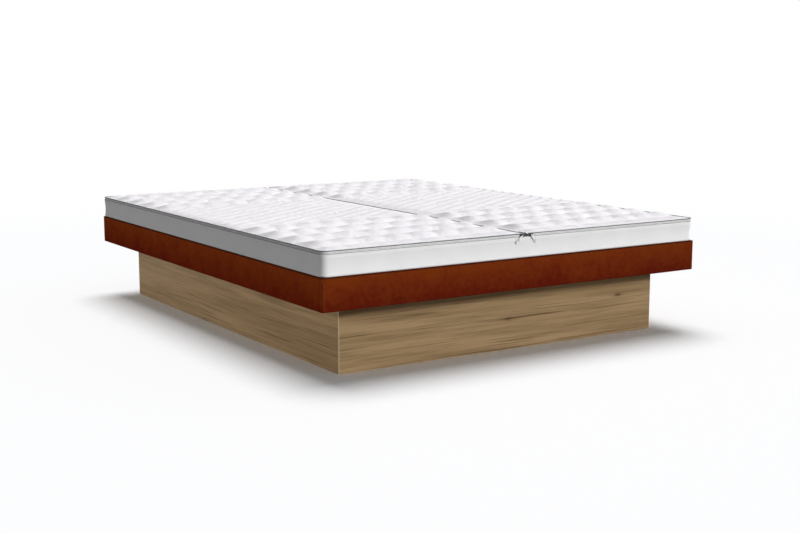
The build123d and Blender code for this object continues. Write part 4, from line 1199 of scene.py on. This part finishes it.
# The upper piping: a thicker cord in a mid-grey bias strip, one along each half's outline,
# with its ends turned in beside the centre zip.
upper_piping_radius = 0.002
upper_piping_inset = border_inset + upper_piping_radius - 0.0005
upper_piping_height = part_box("top_piping")[1].z - upper_piping_radius
dark_piping = bias_strip("mid_grey_bias_strip", (0.22, 0.22, 0.225), (0.16, 0.16, 0.165))
upper_cords = []
for sign in (-1, 1):
    run = half_way_round(sign, upper_piping_inset, 0.004)
    upper_cords.append(skin_over(cord_rings(run, upper_piping_height, upper_piping_radius)))
add_piece("upper_piping", *join_parts(upper_cords), dark_piping, "top_cover", "piping", ["top_piping"])


# The centre zip, which joins the two halves: two tapes flat under the hems, with their
# teeth meshed side by side in the seam.
grey_tape = knit_cloth("grey_zip_tape", (0.17, 0.17, 0.175), (0.13, 0.13, 0.135), 0.0009, 0.00012)
grey_nylon = moulded_plastic("grey_nylon", (0.15, 0.15, 0.155), 0.45)
centre_low, centre_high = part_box("centre_zip")
centre_level = (centre_low.z + centre_high.z) / 2
centre_end = centre_high.y - 0.004
tapes, teeth = [], []
for sign in (-1, 1):
    near, far = tape_edge * sign, centre_high.x * sign
    rings = []
    for y in row_of(-centre_end, centre_end, 110):
        sag = 0.00015 * math.sin(y * 41 + sign)
        rings.append([(x, y, centre_level + sag + z) for x, z in (
            (near, 0.0005), ((near + far) / 2, 0.0006), (far, 0.0005), (far, -0.0005), (near, -0.0005))])
    tapes.append(skin_over(rings))
    count = int(2 * centre_end / zip_pitch)
    for i in range(count):
        y = -centre_end + (i + (0.25 if sign > 0 else 0.75)) * zip_pitch
        teeth.append(tooth(Vector((tooth_root * sign, y, centre_level)), to_head, Vector((-sign, 0, 0))))
add_piece("centre_zip_tapes", *join_parts(tapes), grey_tape, "top_cover", "zip_nylon", ["centre_zip"])
add_piece("centre_zip_teeth", *join_parts(teeth), grey_nylon, "top_cover", "zip_nylon", smooth=False)


# The quilting stitches: a lockstitch in white thread along every channel between the big
# rows, sunk into the cloth.
quilting_pitch = 0.0056
quilting_stitch = (0.0042, 0.0004, 0.0003)
thread_white = Finish("white_thread", roughness=0.6, specular_ior_level=0.3)
ply = thread_white.noise(thread_white.place(), 1500.0, 2.0)
thread_white.wear(base_color=thread_white.blend(ply, (0.74, 0.73, 0.75), (0.86, 0.85, 0.87)))
for side, sign in halves:
    seams = []
    for end in (-1, 1):
        for row in range(big_rows + 1):
            y = end * (fine_zone / 2 + row * big_row)
            first, last = quilt_inner + 0.006, quilt_outer - 0.006
            for x in row_of(first, last, int((last - first) / quilting_pitch)):
                skin = float(quilt_height(np.array([[x]]), np.array([[y]]))[0, 0])
                middle = Vector((sign * x, y, skin + 0.0001))
                seams.append(stitch(middle, Vector((1, 0, 0)), up, *quilting_stitch))
    add_piece(f"quilting_stitches_{side}", *join_parts(seams), thread_white, "top_cover", "quilt")


# Zip sliders and pulls: die-cast, two at the middle of the foot for the perimeter zip and
# one for the centre zip. The sliders and the centre pull are dark, and the two other pulls are bright
# nickel.
slider_dark = plated_steel("gunmetal", (0.050, 0.050, 0.055), (0.022, 0.022, 0.025), 900.0, 0.30)
pull_nickel = plated_steel("bright_nickel", (0.80, 0.79, 0.77), (0.62, 0.61, 0.60), 600.0, 0.16)
for side in ("left", "right", "centre"):
    slider_dark.dress(nodes[f"zip_slider_{side}"])
    pull_nickel.dress(nodes[f"zip_pull_{side}"])
slider_dark.dress(nodes["zip_pull_centre"])


# The heater controls on the head board: pale housings with a dial, its scale of raised
# ticks, and a dark rocker switch.
housing_grey = moulded_plastic("housing_grey", (0.60, 0.605, 0.60), 0.44)
dial_grey = moulded_plastic("dial_grey", (0.11, 0.115, 0.12), 0.38)
rocker_black = moulded_plastic("rocker_black", (0.022, 0.022, 0.024), 0.30)
tick_dark = moulded_plastic("tick_ink", (0.05, 0.05, 0.055), 0.5)
for side, sign in halves:
    housing_grey.dress(nodes[f"control_housing_{side}"])
    dial_grey.dress(nodes[f"control_dial_{side}"])
    rocker_black.dress(nodes[f"control_rocker_{side}"])
    dial_low, dial_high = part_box(f"control_dial_{side}")
    hub = Vector(((dial_low.x + dial_high.x) / 2, 0, (dial_low.z + dial_high.z) / 2))
    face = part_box(f"control_housing_{side}")[1].y
    ticks = []
    for i in range(11):
        turn = math.radians(-135 + 27 * i)
        ray = Vector((-math.sin(turn), 0, math.cos(turn)))
        long = 0.0036 if i in (0, 5, 10) else 0.0024
        spot = hub + ray * (0.0212 + long / 2) + Vector((0, face, 0))
        ticks.append(stitch(spot, ray, to_head, long, 0.0005, 0.00015))
    add_piece(f"dial_scale_{side}", *join_parts(ticks), tick_dark, "bed", "dark_plastic", smooth=False)
